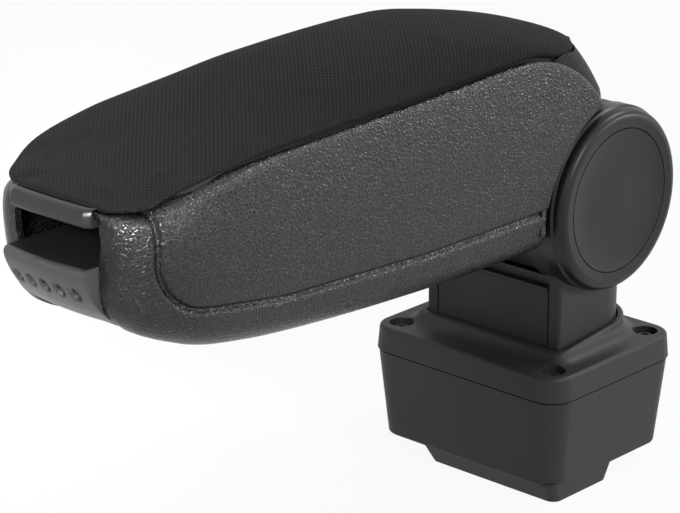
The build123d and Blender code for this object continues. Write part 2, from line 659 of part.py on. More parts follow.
def fascia_screw_places():
    """Screws from below through the shell into the fascia's tail."""
    y = HORN_Y + FRONT_NOTCH + FASCIA_TAIL / 2
    return [(-FASCIA_SCREW_X, y), (FASCIA_SCREW_X, y)]


def lid_lugs():
    """Top of the bulkhead under the rear cover, with two lugs that carry the lid's pin."""
    inner = LID_BARREL_HALF + LUG_GAP
    front = LID_AXIS_Y - LID_BARREL / 2
    rear = LID_AXIS_Y + LID_BARREL / 2
    lug = roller(LID_BARREL / 2, inner, LUG_OUTER, LID_AXIS_Y, LID_AXIS_Z)
    lug += block(inner, LUG_OUTER, front, rear, 0, LID_AXIS_Z)
    room = block(-LUG_OUTER, LUG_OUTER, -SWEEP_RADIUS, rear + SHELF_PAST, 0, FAR)
    shelf = roller(BULKHEAD_RADIUS, -LUG_OUTER, LUG_OUTER) & room
    return both_sides(lug) + shelf


def arm_shell():
    """Moulded shell of the arm with everything that is cast on it."""
    inside = arm_form(SHELL_WALL)
    hollow = inside - roller(BULKHEAD_RADIUS, -FAR, FAR)
    body = arm_form() - hollow - relief()
    pads = block(-NECK_HALF, NECK_HALF, TONGUE_FRONT, -SWEEP_RADIUS, ARM_FLOOR, TONGUE_SEAT)
    pads += block(-FRONT_HALF, FRONT_HALF, HORN_Y + FRONT_NOTCH, HORN_Y + FRONT_NOTCH + FASCIA_TAIL,
                  ARM_FLOOR, fascia_seat())
    for x, y in tray_screw_places():
        pads += upright(TRAY_BOSS / 2, x, y, ARM_FLOOR, TRAY_SEAT)
    body = (body + (pads & arm_form(SHELL_WALL / 2))) & under_seam()
    body = body + lid_lugs() - roller(SWEEP_RADIUS, -FAR, FAR)
    window = NECK_HALF + NECK_PLAY
    body -= block(-window, window, -BULKHEAD_RADIUS - NECK_PLAY, 0, TONGUE_SEAT, NECK_TOP + NECK_PLAY)
    mouth = FRONT_HALF + FRONT_GAP
    body -= block(-mouth, mouth, HORN_Y - FRONT_NOTCH, HORN_Y + FRONT_NOTCH, -FAR, FAR)
    body -= roller(LID_PIN / 2 + SCREW_PLAY, -FAR, FAR, LID_AXIS_Y, LID_AXIS_Z)
    for x, y in tray_screw_places():
        body -= upright(TRAY_SHANK / 2 + SCREW_PLAY, x, y, TRAY_SEAT - tray_screw_depth(), TRAY_SEAT)
    for x, y in tongue_screw_places():
        body -= upright(TONGUE_SHANK / 2 + SCREW_PLAY, x, y, ARM_FLOOR + RIB_THICK, TONGUE_SEAT)
    for x, y in fascia_screw_places():
        body -= upright(FASCIA_SHANK / 2 + SCREW_PLAY, x, y, -FAR, FASCIA_TOP)
        body -= upright(FASCIA_HEAD / 2 + SCREW_PLAY, x, y, -FAR, fascia_seat() - FASCIA_WALL)
    return HINGE * body.solid()


def hinge_knuckle():
    """Drum between the ears, with a neck and a tongue that lies on the arm's floor."""
    drum = roller(KNUCKLE_RADIUS, -KNUCKLE_HALF, KNUCKLE_HALF)
    pocket = (roller(KNUCKLE_RADIUS - KNUCKLE_RIM, KNUCKLE_WEB / 2, KNUCKLE_HALF)
              - roller(KNUCKLE_HUB / 2, 0, KNUCKLE_HALF))
    drum -= both_sides(pocket)
    tongue_top = TONGUE_SEAT + TONGUE_THICK
    neck_root = -(KNUCKLE_RADIUS - KNUCKLE_RIM / 2) * cos(radians(NECK_TURN))
    outline = Polyline(
        (neck_root, TONGUE_SEAT), (TONGUE_FRONT, TONGUE_SEAT), (TONGUE_FRONT, tongue_top),
        (-BULKHEAD_RADIUS - NECK_PLAY - TONGUE_THICK, tongue_top), (-BULKHEAD_RADIUS, NECK_TOP / 2),
        (neck_root, NECK_TOP - NECK_PLAY), close=True)
    neck = side_slab([outline], NECK_HALF) - roller(KNUCKLE_RADIUS - KNUCKLE_RIM, -FAR, FAR)
    body = drum + neck - roller(BUSH_OD / 2 + SCREW_PLAY, -FAR, FAR)
    body -= both_sides(roller(BUSH_HEAD / 2 + SCREW_PLAY, KNUCKLE_HALF - BUSH_HEAD_THICK, KNUCKLE_HALF))
    for x, y in tongue_screw_places():
        body -= upright(TONGUE_SHANK / 2 + SCREW_PLAY, x, y, TONGUE_SEAT, tongue_top)
    return HINGE * body


def knuckle_bushes():
    """Two flanged bushes for the bolt."""
    bush = roller(BUSH_OD / 2, KNUCKLE_HALF - BUSH_LENGTH, KNUCKLE_HALF)
    bush += roller(BUSH_HEAD / 2, KNUCKLE_HALF - BUSH_HEAD_THICK, KNUCKLE_HALF)
    bush -= roller(BOLT / 2 + BUSH_PLAY, 0, FAR)
    return group([HINGE * bush, mirror(HINGE * bush, Plane.YZ)])


def knuckle_screws():
    """Four screws that hold the tongue down on the shell's floor."""
    depth = TONGUE_THICK + TONGUE_SEAT - ARM_FLOOR - RIB_THICK - SCREW_PLAY
    screw = pan_screw(TONGUE_HEAD, TONGUE_HEAD_HEIGHT, TONGUE_SHANK, depth)
    seat = TONGUE_SEAT + TONGUE_THICK
    return group([HINGE * Pos(x, y, seat) * screw for x, y in tongue_screw_places()])


def tray_face(z, inset=0.0):
    """Rounded outline of the drafted tray at one height."""
    share = (z - TRAY_SEAT) / (TRAY_TOP - TRAY_SEAT)
    half = TRAY_HALF_FLOOR + (TRAY_HALF_TOP - TRAY_HALF_FLOOR) * share - inset
    rear = TRAY_REAR - inset
    front = TRAY_FRONT + inset
    return Pos(0, (front + rear) / 2, z) * RectangleRounded(2 * half, rear - front, TRAY_CORNER - inset)


def storage_tray():
    """Drafted liner with its floor screwed to the shell's bosses."""
    body = loft([tray_face(TRAY_SEAT), tray_face(TRAY_TOP)])
    body -= loft([tray_face(TRAY_SEAT + TRAY_WALL, TRAY_WALL), tray_face(TRAY_TOP, TRAY_WALL)])
    for x, y in tray_screw_places():
        body -= upright(TRAY_SHANK / 2 + SCREW_PLAY, x, y, TRAY_SEAT, TRAY_TOP)
    return HINGE * body


def tray_screws():
    """Four screws in the tray's floor."""
    length = TRAY_WALL + tray_screw_depth() - SCREW_PLAY
    screw = pan_screw(TRAY_HEAD, TRAY_HEAD_HEIGHT, TRAY_SHANK, length)
    seat = TRAY_SEAT + TRAY_WALL
    return group([HINGE * Pos(x, y, seat) * screw for x, y in tray_screw_places()])


def tray_screw_depth():
    """Depth of the blind holes in the tray's bosses, set by the higher floor at the front."""
    return TRAY_SEAT - floor_at(TRAY_FRONT + TRAY_SCREW_INSET) - BLIND_SKIN


def bowed(outline, half):
    """Side outline swept round the bow of the arm's front and trimmed to a width."""
    axis = Axis((0, HORN_Y - FASCIA_FRONT - FASCIA_BOW + BOW_RADIUS, 0), (0, 0, 1))
    face = Plane.YZ * make_face(outline)
    swing = 2 * degrees(half / BOW_RADIUS)
    body = revolve(face.rotate(axis, -swing / 2), axis, swing)
    return body & block(-half, half, -FAR, FAR, -FAR, FAR)


def fascia_seat():
    """Height at which the fascia's tail lies on the shell's floor."""
    return floor_at(HORN_Y + FRONT_NOTCH) + SHELL_WALL + FASCIA_PAD


def front_panel():
    """Bowed fascia with dimples, the slot's floor behind its top edge and a screwed tail."""
    top_y = HORN_Y - FASCIA_FRONT - FASCIA_BOW
    belly = (top_y - FASCIA_SWELL, FASCIA_TOP - FASCIA_BELLY)
    chin = (top_y + FASCIA_UNDER, FASCIA_TOP - 2 * FASCIA_BELLY)
    chin_back = (top_y + FASCIA_UNDER_BACK, chin[1] + FASCIA_WALL)
    under_top = (top_y + FASCIA_WALL, FASCIA_TOP - FASCIA_WALL)
    tail_end = HORN_Y + FRONT_NOTCH + FASCIA_TAIL
    tail_z = fascia_seat()
    lower = (HORN_Y + FASCIA_BELLY, tail_z - FASCIA_WALL)
    outline = [
        ThreePointArc((top_y, FASCIA_TOP), belly, chin),
        Line(chin, lower),
        Line(lower, (lower[0], lower[1] + FASCIA_WALL)),
        Line((lower[0], lower[1] + FASCIA_WALL), chin_back),
        ThreePointArc(chin_back, (belly[0] + FASCIA_WALL, belly[1]), under_top),
        Line(under_top, (HORN_Y, FASCIA_TOP - FASCIA_WALL)),
        Line((HORN_Y, FASCIA_TOP - FASCIA_WALL), (HORN_Y, FASCIA_TOP)),
        Line((HORN_Y, FASCIA_TOP), (top_y, FASCIA_TOP)),
    ]
    body = bowed(outline, FRONT_HALF)
    body += block(-FRONT_HALF, FRONT_HALF, HORN_Y - FASCIA_BOW, TRAY_FRONT - FRONT_GAP,
                  FASCIA_TOP - FASCIA_WALL, FASCIA_TOP)
    body += block(-FRONT_HALF, FRONT_HALF, lower[0] - FASCIA_WALL, tail_end, tail_z, tail_z + FASCIA_WALL)
    centre_y = HORN_Y - FASCIA_FRONT - FASCIA_BOW + BOW_RADIUS
    for k in range(DIMPLES):
        x = (k - (DIMPLES - 1) / 2) * DIMPLE_PITCH
        swing = degrees(atan2(x, BOW_RADIUS))
        cup = Pos(0, belly[0] - centre_y, FASCIA_TOP - DIMPLE_DROP) * Rot(90, 0, 0) * Cylinder(
            DIMPLE / 2, 2 * DIMPLE_DEPTH)
        cup = fillet(cup.edges().group_by(Axis.Y)[-1], DIMPLE_DEPTH * DIMPLE_ROUND)
        body -= Pos(0, centre_y, 0) * Rot(0, 0, swing) * cup
    for x, y in fascia_screw_places():
        body -= upright(FASCIA_SHANK / 2 + SCREW_PLAY, x, y, tail_z, tail_z + FASCIA_WALL)
    return HINGE * body.solid()


def front_panel_screws():
    """Two screws from below."""
    length = 2 * FASCIA_WALL - SCREW_PLAY
    screw = pan_screw(FASCIA_HEAD, FASCIA_HEAD_HEIGHT, FASCIA_SHANK, length)
    seat = fascia_seat() - FASCIA_WALL
    return group([HINGE * Pos(x, y, seat) * Rot(180, 0, 0) * screw for x, y in fascia_screw_places()])


def crowned_face(plane, half, base, crown, shoulder):
    """Closed arch: a flat base and a crowned top with rounded shoulders."""
    points = []
    for k in range(ARCH_STEPS + 1):
        turn = pi * k / ARCH_STEPS
        x = half * abs(cos(turn)) ** (2 / shoulder) * (1 if k < ARCH_STEPS / 2 else -1)
        points.append((x if k != ARCH_STEPS / 2 else 0.0, base + (crown - base) * sin(turn) ** (2 / shoulder)))
    return plane * make_face([Spline(*points), Line(points[-1], points[0])])


def cover_form(inset):
    """Straight crowned ridge that falls from the lid's end to the hinge."""
    head = rim_arc(COVER_TOP_TURN)
    foot = rim_arc(COVER_FOOT_TURN)
    fall = atan2(head[1] - foot[1], foot[0] - head[0])
    run = (cos(fall), -sin(fall))
    faces = []
    for along, crown in ((-COVER_RUN_BACK, COVER_CROWN_FRONT), (COVER_RUN_ON, COVER_CROWN_REAR)):
        origin = (0, foot[0] + run[0] * along, foot[1] + run[1] * along)
        plane = Plane(origin=origin, x_dir=(1, 0, 0), z_dir=(0, -run[0], -run[1]))
        faces.append(crowned_face(plane, PAD_HALF - inset, -COVER_BASE, crown - inset, COVER_SHOULDER))
    return loft(faces)


def pad_plan(grow):
    """Plan of the lid: straight sides, round rear end."""
    half = PAD_HALF + grow
    start = PAD_REAR_STATIONS[-1][0] + PAD_END_PAST - PAD_END_ROUND
    return make_face([
        ThreePointArc((half, start), (0, start + PAD_END_ROUND + grow), (-half, start)),
        Line((-half, start), (-half, HORN_Y)),
        Line((-half, HORN_Y), (half, HORN_Y)),
        Line((half, HORN_Y), (half, start)),
    ])


def rear_cover():
    """Hollow crowned cover behind the lid, open to the front, clear of the hinge."""
    lugs_end = LID_AXIS_Y + LID_BARREL / 2 + SHELF_PAST
    body = (cover_form(0.0) - cover_form(COVER_WALL)) & arm_form(SHELL_WALL + COVER_GAP)
    body -= roller(BULKHEAD_RADIUS, -FAR, FAR) & block(-FAR, FAR, -FAR, lugs_end, -FAR, FAR)
    body -= roller(SWEEP_RADIUS, -FAR, FAR)
    body -= extrude(pad_plan(LID_END_GAP), FAR) & above_pad_line(-LID_BOARD - LID_GAP)
    notch = LUG_OUTER + LUG_GAP
    body -= roller(LID_NOSE, -notch, notch, LID_AXIS_Y, LID_AXIS_Z)
    body -= block(-FAR, FAR, -FAR, FAR, -FAR, 0)
    body -= block(-FAR, FAR, -FAR, LID_AXIS_Y - COVER_REACH, -FAR, FAR)
    return HINGE * body.solids().sort_by(SortBy.VOLUME)[-1]


def lid_hinge_pin():
    """Steel pin through lugs and barrel."""
    return HINGE * roller(LID_PIN / 2, -LUG_OUTER, LUG_OUTER, LID_AXIS_Y, LID_AXIS_Z)


# Lid, drawn from the hinge axis in its closed place

def lid_line(lift):
    """Underside of the pad in side view."""
    front = [(HORN_Y + back, low + lift) for back, _, low, _ in PAD_FRONT_STATIONS]
    return front + [(y, low + lift) for y, _, low, _ in PAD_REAR_STATIONS]


def lid_base():
    """Moulded board under the pad with the hinge barrel at its end."""
    upper = lid_line(0.0)
    lower = lid_line(-LID_BOARD)
    outline = Polyline(*upper, *reversed(lower), close=True)
    board = side_slab([outline], ARM_WIDTH) & extrude(board_plan(), SEAM_RISE + SEAM_ARC)
    half = LID_BARREL_HALF
    barrel = roller(LID_BARREL / 2, -half, half, LID_AXIS_Y, LID_AXIS_Z)
    neck = block(-half, half, LID_AXIS_Y - LID_BARREL, LID_AXIS_Y, LID_AXIS_Z - LID_BARREL / 2, LID_AXIS_Z)
    room = block(half, LUG_OUTER + LUG_GAP, LID_AXIS_Y - LID_BARREL, FAR, -FAR, FAR)
    body = board - both_sides(room) + barrel + neck - pad_form()
    body -= roller(LID_PIN / 2 + LID_PIN_PLAY, -FAR, FAR, LID_AXIS_Y, LID_AXIS_Z)
    return HINGE * body


def board_plan():
    """Plan of the board, inside the pad's edge."""
    half = PAD_HALF - LID_INSET
    front = HORN_Y + BOARD_FRONT
    rear = PAD_REAR_STATIONS[-1][0]
    plan = Pos(0, (front + rear) / 2) * Rectangle(2 * half, rear - front)
    plan = fillet(plan.vertices().group_by(Axis.Y)[0], BOARD_FRONT_ROUND)
    return fillet(plan.vertices().group_by(Axis.Y)[-1], half - BOARD_REAR_FLAT)


def pad_form():
    """Crowned pad with a round rear end and a thin front edge."""
    stations = [(HORN_Y + back, draw, low, crown) for back, draw, low, crown in PAD_FRONT_STATIONS]
    stations += PAD_REAR_STATIONS
    return loft([crowned_face(across(y), PAD_HALF - draw, low, crown, PAD_SHOULDER)
                 for y, draw, low, crown in stations], ruled=True)


def lid_cushion():
    """Fabric-covered pad on the board."""
    return HINGE * pad_form()


def lid_grip():
    """Bowed grip bar with a tongue under the pad's front."""
    front = HORN_Y - GRIP_FRONT - FASCIA_BOW
    back = front + GRIP_THICK
    face = make_face(Polyline((front, GRIP_LOW + GRIP_ROUND), (front + GRIP_ROUND, GRIP_TOP),
                              (back, GRIP_TOP), (back, GRIP_LOW), close=True))
    face = fillet(face.vertices().group_by(Axis.X)[0], GRIP_ROUND)
    body = bowed(face.edges(), FRONT_HALF)
    tongue_top = grip_tongue_top()
    body += block(-FRONT_HALF, FRONT_HALF, back - GRIP_ROUND, HORN_Y + GRIP_TONGUE_BACK,
                  tongue_top - GRIP_TONGUE, tongue_top)
    for x in (-GRIP_SCREW_X, GRIP_SCREW_X):
        body -= upright(GRIP_SHANK / 2 + SCREW_PLAY, x, grip_screw_y(), 0, FAR)
    return HINGE * body


def grip_tongue_top():
    """The tongue lies under the board's front."""
    return PAD_FRONT_STATIONS[0][2] - LID_BOARD


def grip_screw_y():
    """The tongue's screws lie near its rear edge."""
    return HORN_Y + GRIP_TONGUE_BACK - GRIP_HEAD


def grip_screws():
    """Two screws from below through the tongue."""
    screw = pan_screw(GRIP_HEAD, GRIP_HEAD_HEIGHT, GRIP_SHANK, GRIP_TONGUE)
    seat = grip_tongue_top() - GRIP_TONGUE
    return group([HINGE * Pos(x, grip_screw_y(), seat) * Rot(180, 0, 0) * screw
                  for x in (-GRIP_SCREW_X, GRIP_SCREW_X)])


def lid_bumpers():
    """Rubber buttons that meet the tray's front rim."""
    y = TRAY_FRONT + TRAY_WALL / 2
    button = upright(BUMPER / 2, BUMPER_X, y, TRAY_TOP + BUMPER_GAP, SEAM_RISE) - above_pad_line(-LID_BOARD)
    button = button.solids().sort_by(Axis.Z)[0]
    return group([HINGE * button, mirror(HINGE * button, Plane.YZ)])


def above_pad_line(lift):
    """Everything above the pad's underside, or above a line a little higher or lower."""
    line = lid_line(lift)
    rear = line[-1][0] + SEAM_ARC
    top = SEAM_RISE + SEAM_ARC
    outline = Polyline(*line, (rear, line[-1][1]), (rear, top), (line[0][0], top), close=True)
    return side_slab([outline], ARM_WIDTH)


PIECES = {
    "insert_box": insert_box,
    "base_flange": base_flange,
    "base_screws": base_screws,
    "post_body": post_body,
    "post_front_panel": post_front_panel,
    "post_screws": post_screws,
    "hinge_cap_right": lambda: cap_shell(1),
    "hinge_cap_left": lambda: cap_shell(-1),
    "cap_disc_right": lambda: cap_disc(1),
    "cap_disc_left": lambda: cap_disc(-1),
    "hinge_bolt": hinge_bolt,
    "hinge_nut": hinge_nut,
    "hinge_washers": hinge_washers,
    "thrust_washers": thrust_washers,
    "arm_shell": arm_shell,
    "hinge_knuckle": hinge_knuckle,
    "knuckle_bushes": knuckle_bushes,
    "knuckle_screws": knuckle_screws,
    "storage_tray": storage_tray,
    "tray_screws": tray_screws,
    "front_panel": front_panel,
    "front_panel_screws": front_panel_screws,
    "rear_cover": rear_cover,
    "lid_hinge_pin": lid_hinge_pin,
    "lid_base": lid_base,
    "lid_cushion": lid_cushion,
    "lid_grip": lid_grip,
    "grip_screws": grip_screws,
    "lid_bumpers": lid_bumpers,
}

os.makedirs("parts", exist_ok=True)
for name, make in PIECES.items():
    piece = make()
    export_step(piece, f"parts/{name}.step")
    print(f"{name}: {piece.volume / 1000:.1f} cm3")
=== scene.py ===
"""Dressed scene of a folding car centre armrest.

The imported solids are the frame. This file gives every solid its finish, moulds the skin of the arm, its
front trim and its rear cover, sews the fabric pad of the lid with a short cloth simulation, and sets up the
floor, the soft lamps and the camera. The frame is that of the solids: +Z up, the arm points to -Y. Sizes of
the moulded and sewn pieces are in millimetres from the main hinge, all other lengths in metres.
"""

import logging
import math
from dataclasses import dataclass, field
from enum import Enum
from typing import Any, Dict, List, Optional, Sequence, Tuple, Union

import bmesh
import bpy
import numpy as np
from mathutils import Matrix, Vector


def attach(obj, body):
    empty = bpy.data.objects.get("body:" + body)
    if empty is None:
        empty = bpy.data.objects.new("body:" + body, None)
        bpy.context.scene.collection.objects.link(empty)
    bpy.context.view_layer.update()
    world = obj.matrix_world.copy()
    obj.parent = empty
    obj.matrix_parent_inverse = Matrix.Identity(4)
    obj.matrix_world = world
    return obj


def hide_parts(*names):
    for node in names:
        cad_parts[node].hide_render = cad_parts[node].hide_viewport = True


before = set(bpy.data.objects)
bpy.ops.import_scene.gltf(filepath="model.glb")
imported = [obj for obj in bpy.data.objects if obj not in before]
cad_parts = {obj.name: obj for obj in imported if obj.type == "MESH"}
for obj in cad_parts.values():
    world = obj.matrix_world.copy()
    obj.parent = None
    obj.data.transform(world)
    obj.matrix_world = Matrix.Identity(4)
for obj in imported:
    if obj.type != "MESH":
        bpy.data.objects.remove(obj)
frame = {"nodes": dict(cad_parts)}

LOG = logging.getLogger("armrest")
MM = 0.001
# Least length to divide by
TINY = 1e-9
# Main hinge: place along the arm and height, in millimetres
HINGE = (2.8, 132.3)
# Arc of the shell's rim at the rear: middle's place and height from the hinge, and radius, in millimetres
RIM_ARC = (-62.0, 14.0, 60.0)
Point = Tuple[float, float, float]
Colour = Tuple[float, float, float, float]
Table = Tuple[Tuple[float, ...], ...]
Grids = Tuple[np.ndarray, np.ndarray]
Cell = Tuple[int, int]


class Body(Enum):
    """The rigid bodies of the armrest."""

    BASE = "base"
    ARM = "arm"
    LID = "lid"


class Wire:
    """A node's output socket; arithmetic on it adds Math nodes."""

    def __init__(self, tree: "Tree", socket: Optional[bpy.types.NodeSocket]) -> None:
        """Keep the socket and the tree that it belongs to."""
        self.tree = tree
        self.socket = socket

    def _math(self, operation: str, first: "Value", second: "Value") -> "Wire":
        """Add one Math node.

        Args:
            operation: Name of the Math node's operation.
            first: First operand.
            second: Second operand.

        Returns:
            The node's output.
        """
        return self.tree.add("ShaderNodeMath", {"operation": operation}, {0: first, 1: second})

    def __add__(self, other: "Value") -> "Wire":
        """Sum."""
        return self._math("ADD", self, other)

    def __radd__(self, other: "Value") -> "Wire":
        """Sum with a number in front."""
        return self._math("ADD", other, self)

    def __sub__(self, other: "Value") -> "Wire":
        """Difference."""
        return self._math("SUBTRACT", self, other)

    def __rsub__(self, other: "Value") -> "Wire":
        """Difference with a number in front."""
        return self._math("SUBTRACT", other, self)

    def __mul__(self, other: "Value") -> "Wire":
        """Product."""
        return self._math("MULTIPLY", self, other)

    def __rmul__(self, other: "Value") -> "Wire":
        """Product with a number in front."""
        return self._math("MULTIPLY", other, self)

    def sine(self) -> "Wire":
        """Sine of the value."""
        return self._math("SINE", self, 0.0)

    def least(self, other: "Value") -> "Wire":
        """The smaller of two values."""
        return self._math("MINIMUM", self, other)


Value = Union[float, Sequence[float], Wire]


class Tree:
    """Node tree of a material or a world, filled through one method."""

    def __init__(self, owner: Any) -> None:
        """Start with an empty tree on a material or a world.

        Args:
            owner: The material or world.
        """
        owner.use_nodes = True
        self.nodes = owner.node_tree.nodes
        self.links = owner.node_tree.links
        self.nodes.clear()

    def add(self, kind: str, settings: Optional[Dict[str, Any]] = None,
            sockets: Optional[Dict[Union[str, int], Value]] = None, output: Union[str, int] = 0) -> Wire:
        """Add any node.

        Args:
            kind: Blender's type of the node.
            settings: Its properties; "stops" holds a ramp's places and colours.
            sockets: Values or links of its inputs, by name or number.
            output: Which output to hand back.

        Returns:
            The chosen output.
        """
        node = self.nodes.new(kind)
        for key, value in (settings or {}).items():
            if key == "stops":
                self._ramp(node.color_ramp, value)
            else:
                setattr(node, key, value)
        for key, value in (sockets or {}).items():
            if isinstance(value, Wire):
                self.links.new(value.socket, node.inputs[key])
            else:
                node.inputs[key].default_value = value
        return Wire(self, node.outputs[output] if len(node.outputs) else None)

    @staticmethod
    def _ramp(ramp: bpy.types.ColorRamp, stops: Sequence[Tuple[float, float]]) -> None:
        """Set a grey ramp's stops from (place, level) pairs.

        Args:
            ramp: The ramp.
            stops: Places and levels, in rising order.
        """
        while len(ramp.elements) < len(stops):
            ramp.elements.new(0.5)
        for element, (place, level) in zip(ramp.elements, stops):
            element.position = place
            element.color = (level, level, level, 1.0)

    def mix(self, factor: Value, first: Value, second: Value) -> Wire:
        """Mix two colours.

        Args:
            factor: Share of the second colour.
            first: Colour at factor 0.
            second: Colour at factor 1.

        Returns:
            The mixed colour.
        """
        return self.add("ShaderNodeMix", {"data_type": "RGBA"}, {0: factor, 6: first, 7: second}, 2)

    def place(self) -> Wire:
        """Place in the piece's own frame."""
        return self.add("ShaderNodeTexCoord", {}, {}, "Object")

    def bump(self, height: Wire, depth: float, strength: float = 1.0) -> Wire:
        """Normal that follows a height, with the depth in metres."""
        return self.add("ShaderNodeBump", {}, {"Strength": strength, "Distance": depth, "Height": height})

    def noise(self, place: Wire, pitch: float, detail: float = 2.0) -> Wire:
        """Noise with features of a given size in metres."""
        return self.add("ShaderNodeTexNoise", {}, {"Vector": place, "Scale": 1.0 / pitch, "Detail": detail})

    def surface(self, **sockets: Value) -> None:
        """Close the tree with one Principled shader; underscores stand for spaces in socket names."""
        named = {key.replace("_", " "): value for key, value in sockets.items()}
        shader = self.add("ShaderNodeBsdfPrincipled", {}, named)
        self.add("ShaderNodeOutputMaterial", {}, {"Surface": shader})


def grey(level: float, warmth: float = 0.0) -> Colour:
    """Nearly neutral colour.

    Args:
        level: Linear brightness.
        warmth: Share by which red is raised and blue is lowered.

    Returns:
        Colour with alpha 1.
    """
    return (level * (1 + warmth), level, level * (1 - warmth), 1.0)


class Finish:
    """A material that is made once and handed to every piece that wears it."""

    name: str

    def make(self) -> bpy.types.Material:
        """The finish's material, made at its first use.

        Returns:
            The material.
        """
        found = bpy.data.materials.get(self.name)
        if found is None:
            found = bpy.data.materials.new(self.name)
            self.fill(Tree(found))
        return found

    def fill(self, tree: Tree) -> None:
        """Add the finish's nodes."""
        raise NotImplementedError

    def dress(self, piece: bpy.types.Object) -> None:
        """Put the finish on one piece in place of what it wore.

        Args:
            piece: The piece.
        """
        if piece.data.materials:
            piece.data.materials.clear()
        piece.data.materials.append(self.make())


@dataclass(frozen=True)
class GrainedPlastic(Finish):
    """Black plastic with a moulded leather grain: wrinkled pebbles with glossy tops."""

    name: str
    level: float
    roughness: float
    pebble: float
    depth: float
    specular: float = 0.42
    # Scale and amount of the drift that bends the pebbles, and size of the wrinkles, as shares of a pebble
    drift_scale: float = 0.6
    drift: float = 0.9
    wrinkle: float = 0.5
    # Height of pebbles and wrinkles as shares of the depth
    relief: Tuple[float, float] = (0.8, 0.7)
    # Rise from crease to top, and the wrinkles painted lighter as glints, a painted highlight
    top_stops: Table = ((0.0, 0.0), (0.14, 0.55), (0.45, 1.0))
    glint_stops: Table = ((0.47, 0.0), (0.6, 1.0))
    # Share of the level in the creases, a painted shade, and how much rougher they are
    crease_shade: float = 0.15
    crease_rough: float = 0.2
    # Size of the broad patches in metres, and their swing of roughness
    patch: float = 0.03
    patch_rough: float = 0.06

    def fill(self, tree: Tree) -> None:
        """Add warped cells as bump, with duller creases between them that are darkened as painted shade, and
        light wrinkles on the tops as a painted highlight.

        Args:
            tree: The material's empty tree.
        """
        place = tree.place()
        drift = tree.add("ShaderNodeTexNoise", {},
                         {"Vector": place, "Scale": self.drift_scale / self.pebble, "Detail": 2.0}, 1)
        bent = tree.add("ShaderNodeVectorMath", {"operation": "MULTIPLY_ADD"},
                        {0: drift, 1: (self.pebble * self.drift,) * 3, 2: place})
        cells = tree.add("ShaderNodeTexVoronoi", {"feature": "DISTANCE_TO_EDGE"},
                         {"Vector": bent, "Scale": 1.0 / self.pebble})
        tops = tree.add("ShaderNodeValToRGB", {"stops": self.top_stops}, {"Fac": cells})
        fine = tree.noise(place, self.pebble * self.wrinkle, 3.0)
        # Light wrinkles on the pebble tops: a painted highlight that stands in for glints
        painted_glint = tree.add("ShaderNodeValToRGB", {"stops": self.glint_stops}, {"Fac": fine})
        height = tops * self.relief[0] + fine * self.relief[1]
        bump = tree.bump(height, self.depth)
        broad = tree.noise(place, self.patch)
        # Base colour: the creases are darkened as painted shade, and light wrinkles on the tops are a painted
        # highlight
        tree.surface(
            Base_Color=tree.mix(tops * painted_glint, grey(self.level * self.crease_shade), grey(self.level)),
            Roughness=self.roughness + (1 - tops) * self.crease_rough + (broad - 0.5) * self.patch_rough,
            Specular_IOR_Level=self.specular, Normal=bump)


@dataclass(frozen=True)
class MouldedPlastic(Finish):
    """Plain moulded plastic with a spark-eroded fine grain."""

    name: str
    level: float
    roughness: float
    grain: float
    depth: float
    specular: float = 0.5
    strength: float = 0.7
    # Darkest and lightest shade of the grain, as shares of the level, and its swing of roughness
    shades: Tuple[float, float] = (0.82, 1.14)
    grain_rough: float = 0.08
    # Size of the broad patches in metres, and their swing of roughness
    patch: float = 0.025
    patch_rough: float = 0.1

    def fill(self, tree: Tree) -> None:
        """Add a fine grain as bump and colour, and a broad unevenness of gloss.

        Args:
            tree: The material's empty tree.
        """
        place = tree.place()
        fine = tree.noise(place, self.grain, 3.0)
        broad = tree.noise(place, self.patch)
        bump = tree.bump(fine, self.depth, self.strength)
        tree.surface(
            Base_Color=tree.mix(fine, *(grey(self.level * shade) for shade in self.shades)),
            Roughness=self.roughness + (broad - 0.5) * self.patch_rough + (fine - 0.5) * self.grain_rough,
            Specular_IOR_Level=self.specular, Normal=bump)


@dataclass(frozen=True)
class WovenFabric(Finish):
    """Black upholstery cloth: a plain weave of round yarns, with a faint sheen."""

    name: str
    level: float
    pitch: float
    depth: float
    specular: float = 0.12
    # Roughness in the gaps, and how much smoother the yarns are
    roughness: float = 0.9
    yarn_gloss: float = 0.12
    # Size of the fuzz as a share of the pitch, and height of weave and fuzz as shares of the depth
    fuzz: float = 0.4
    relief: Tuple[float, float] = (0.8, 0.4)
    # Size of the broad patches in metres, and how much weave and patches show in the colour: the weave as
    # painted shade in the gaps and painted highlight on the yarns, the patches as tone
    patch: float = 0.04
    show: Tuple[float, float] = (0.75, 0.35)
    # Darkest and lightest shade as shares of the level, and warmth of the lightest
    shades: Tuple[float, float] = (0.15, 2.0)
    warmth: float = 0.02

    def fill(self, tree: Tree) -> None:
        """Add the weave along the cloth's own map, with the gaps between the yarns darkened as painted shade
        and the yarns lightened as a painted highlight.

        Args:
            tree: The material's empty tree.
        """
        cloth = tree.add("ShaderNodeUVMap", {"uv_map": "cloth"})
        across = tree.add("ShaderNodeSeparateXYZ", {}, {"Vector": cloth}, 0)
        along = tree.add("ShaderNodeSeparateXYZ", {}, {"Vector": cloth}, 1)
        turns = math.pi / self.pitch
        weave = (across * turns).sine() * (along * turns).sine() * 0.5 + 0.5
        place = tree.place()
        fuzz = tree.noise(place, self.pitch * self.fuzz, 3.0)
        broad = tree.noise(place, self.patch)
        height = weave * self.relief[0] + fuzz * self.relief[1]
        bump = tree.bump(height, self.depth)
        lit_weave_and_tone = weave * self.show[0] + broad * self.show[1]
        dark, light = (self.level * shade for shade in self.shades)
        # Base colour: the weave paints shade into the gaps and a highlight onto the yarns; the broad patches
        # are tone
        tree.surface(
            Base_Color=tree.mix(lit_weave_and_tone, grey(dark), grey(light, self.warmth)),
            Roughness=self.roughness - weave * self.yarn_gloss,
            Specular_IOR_Level=self.specular, Normal=bump)


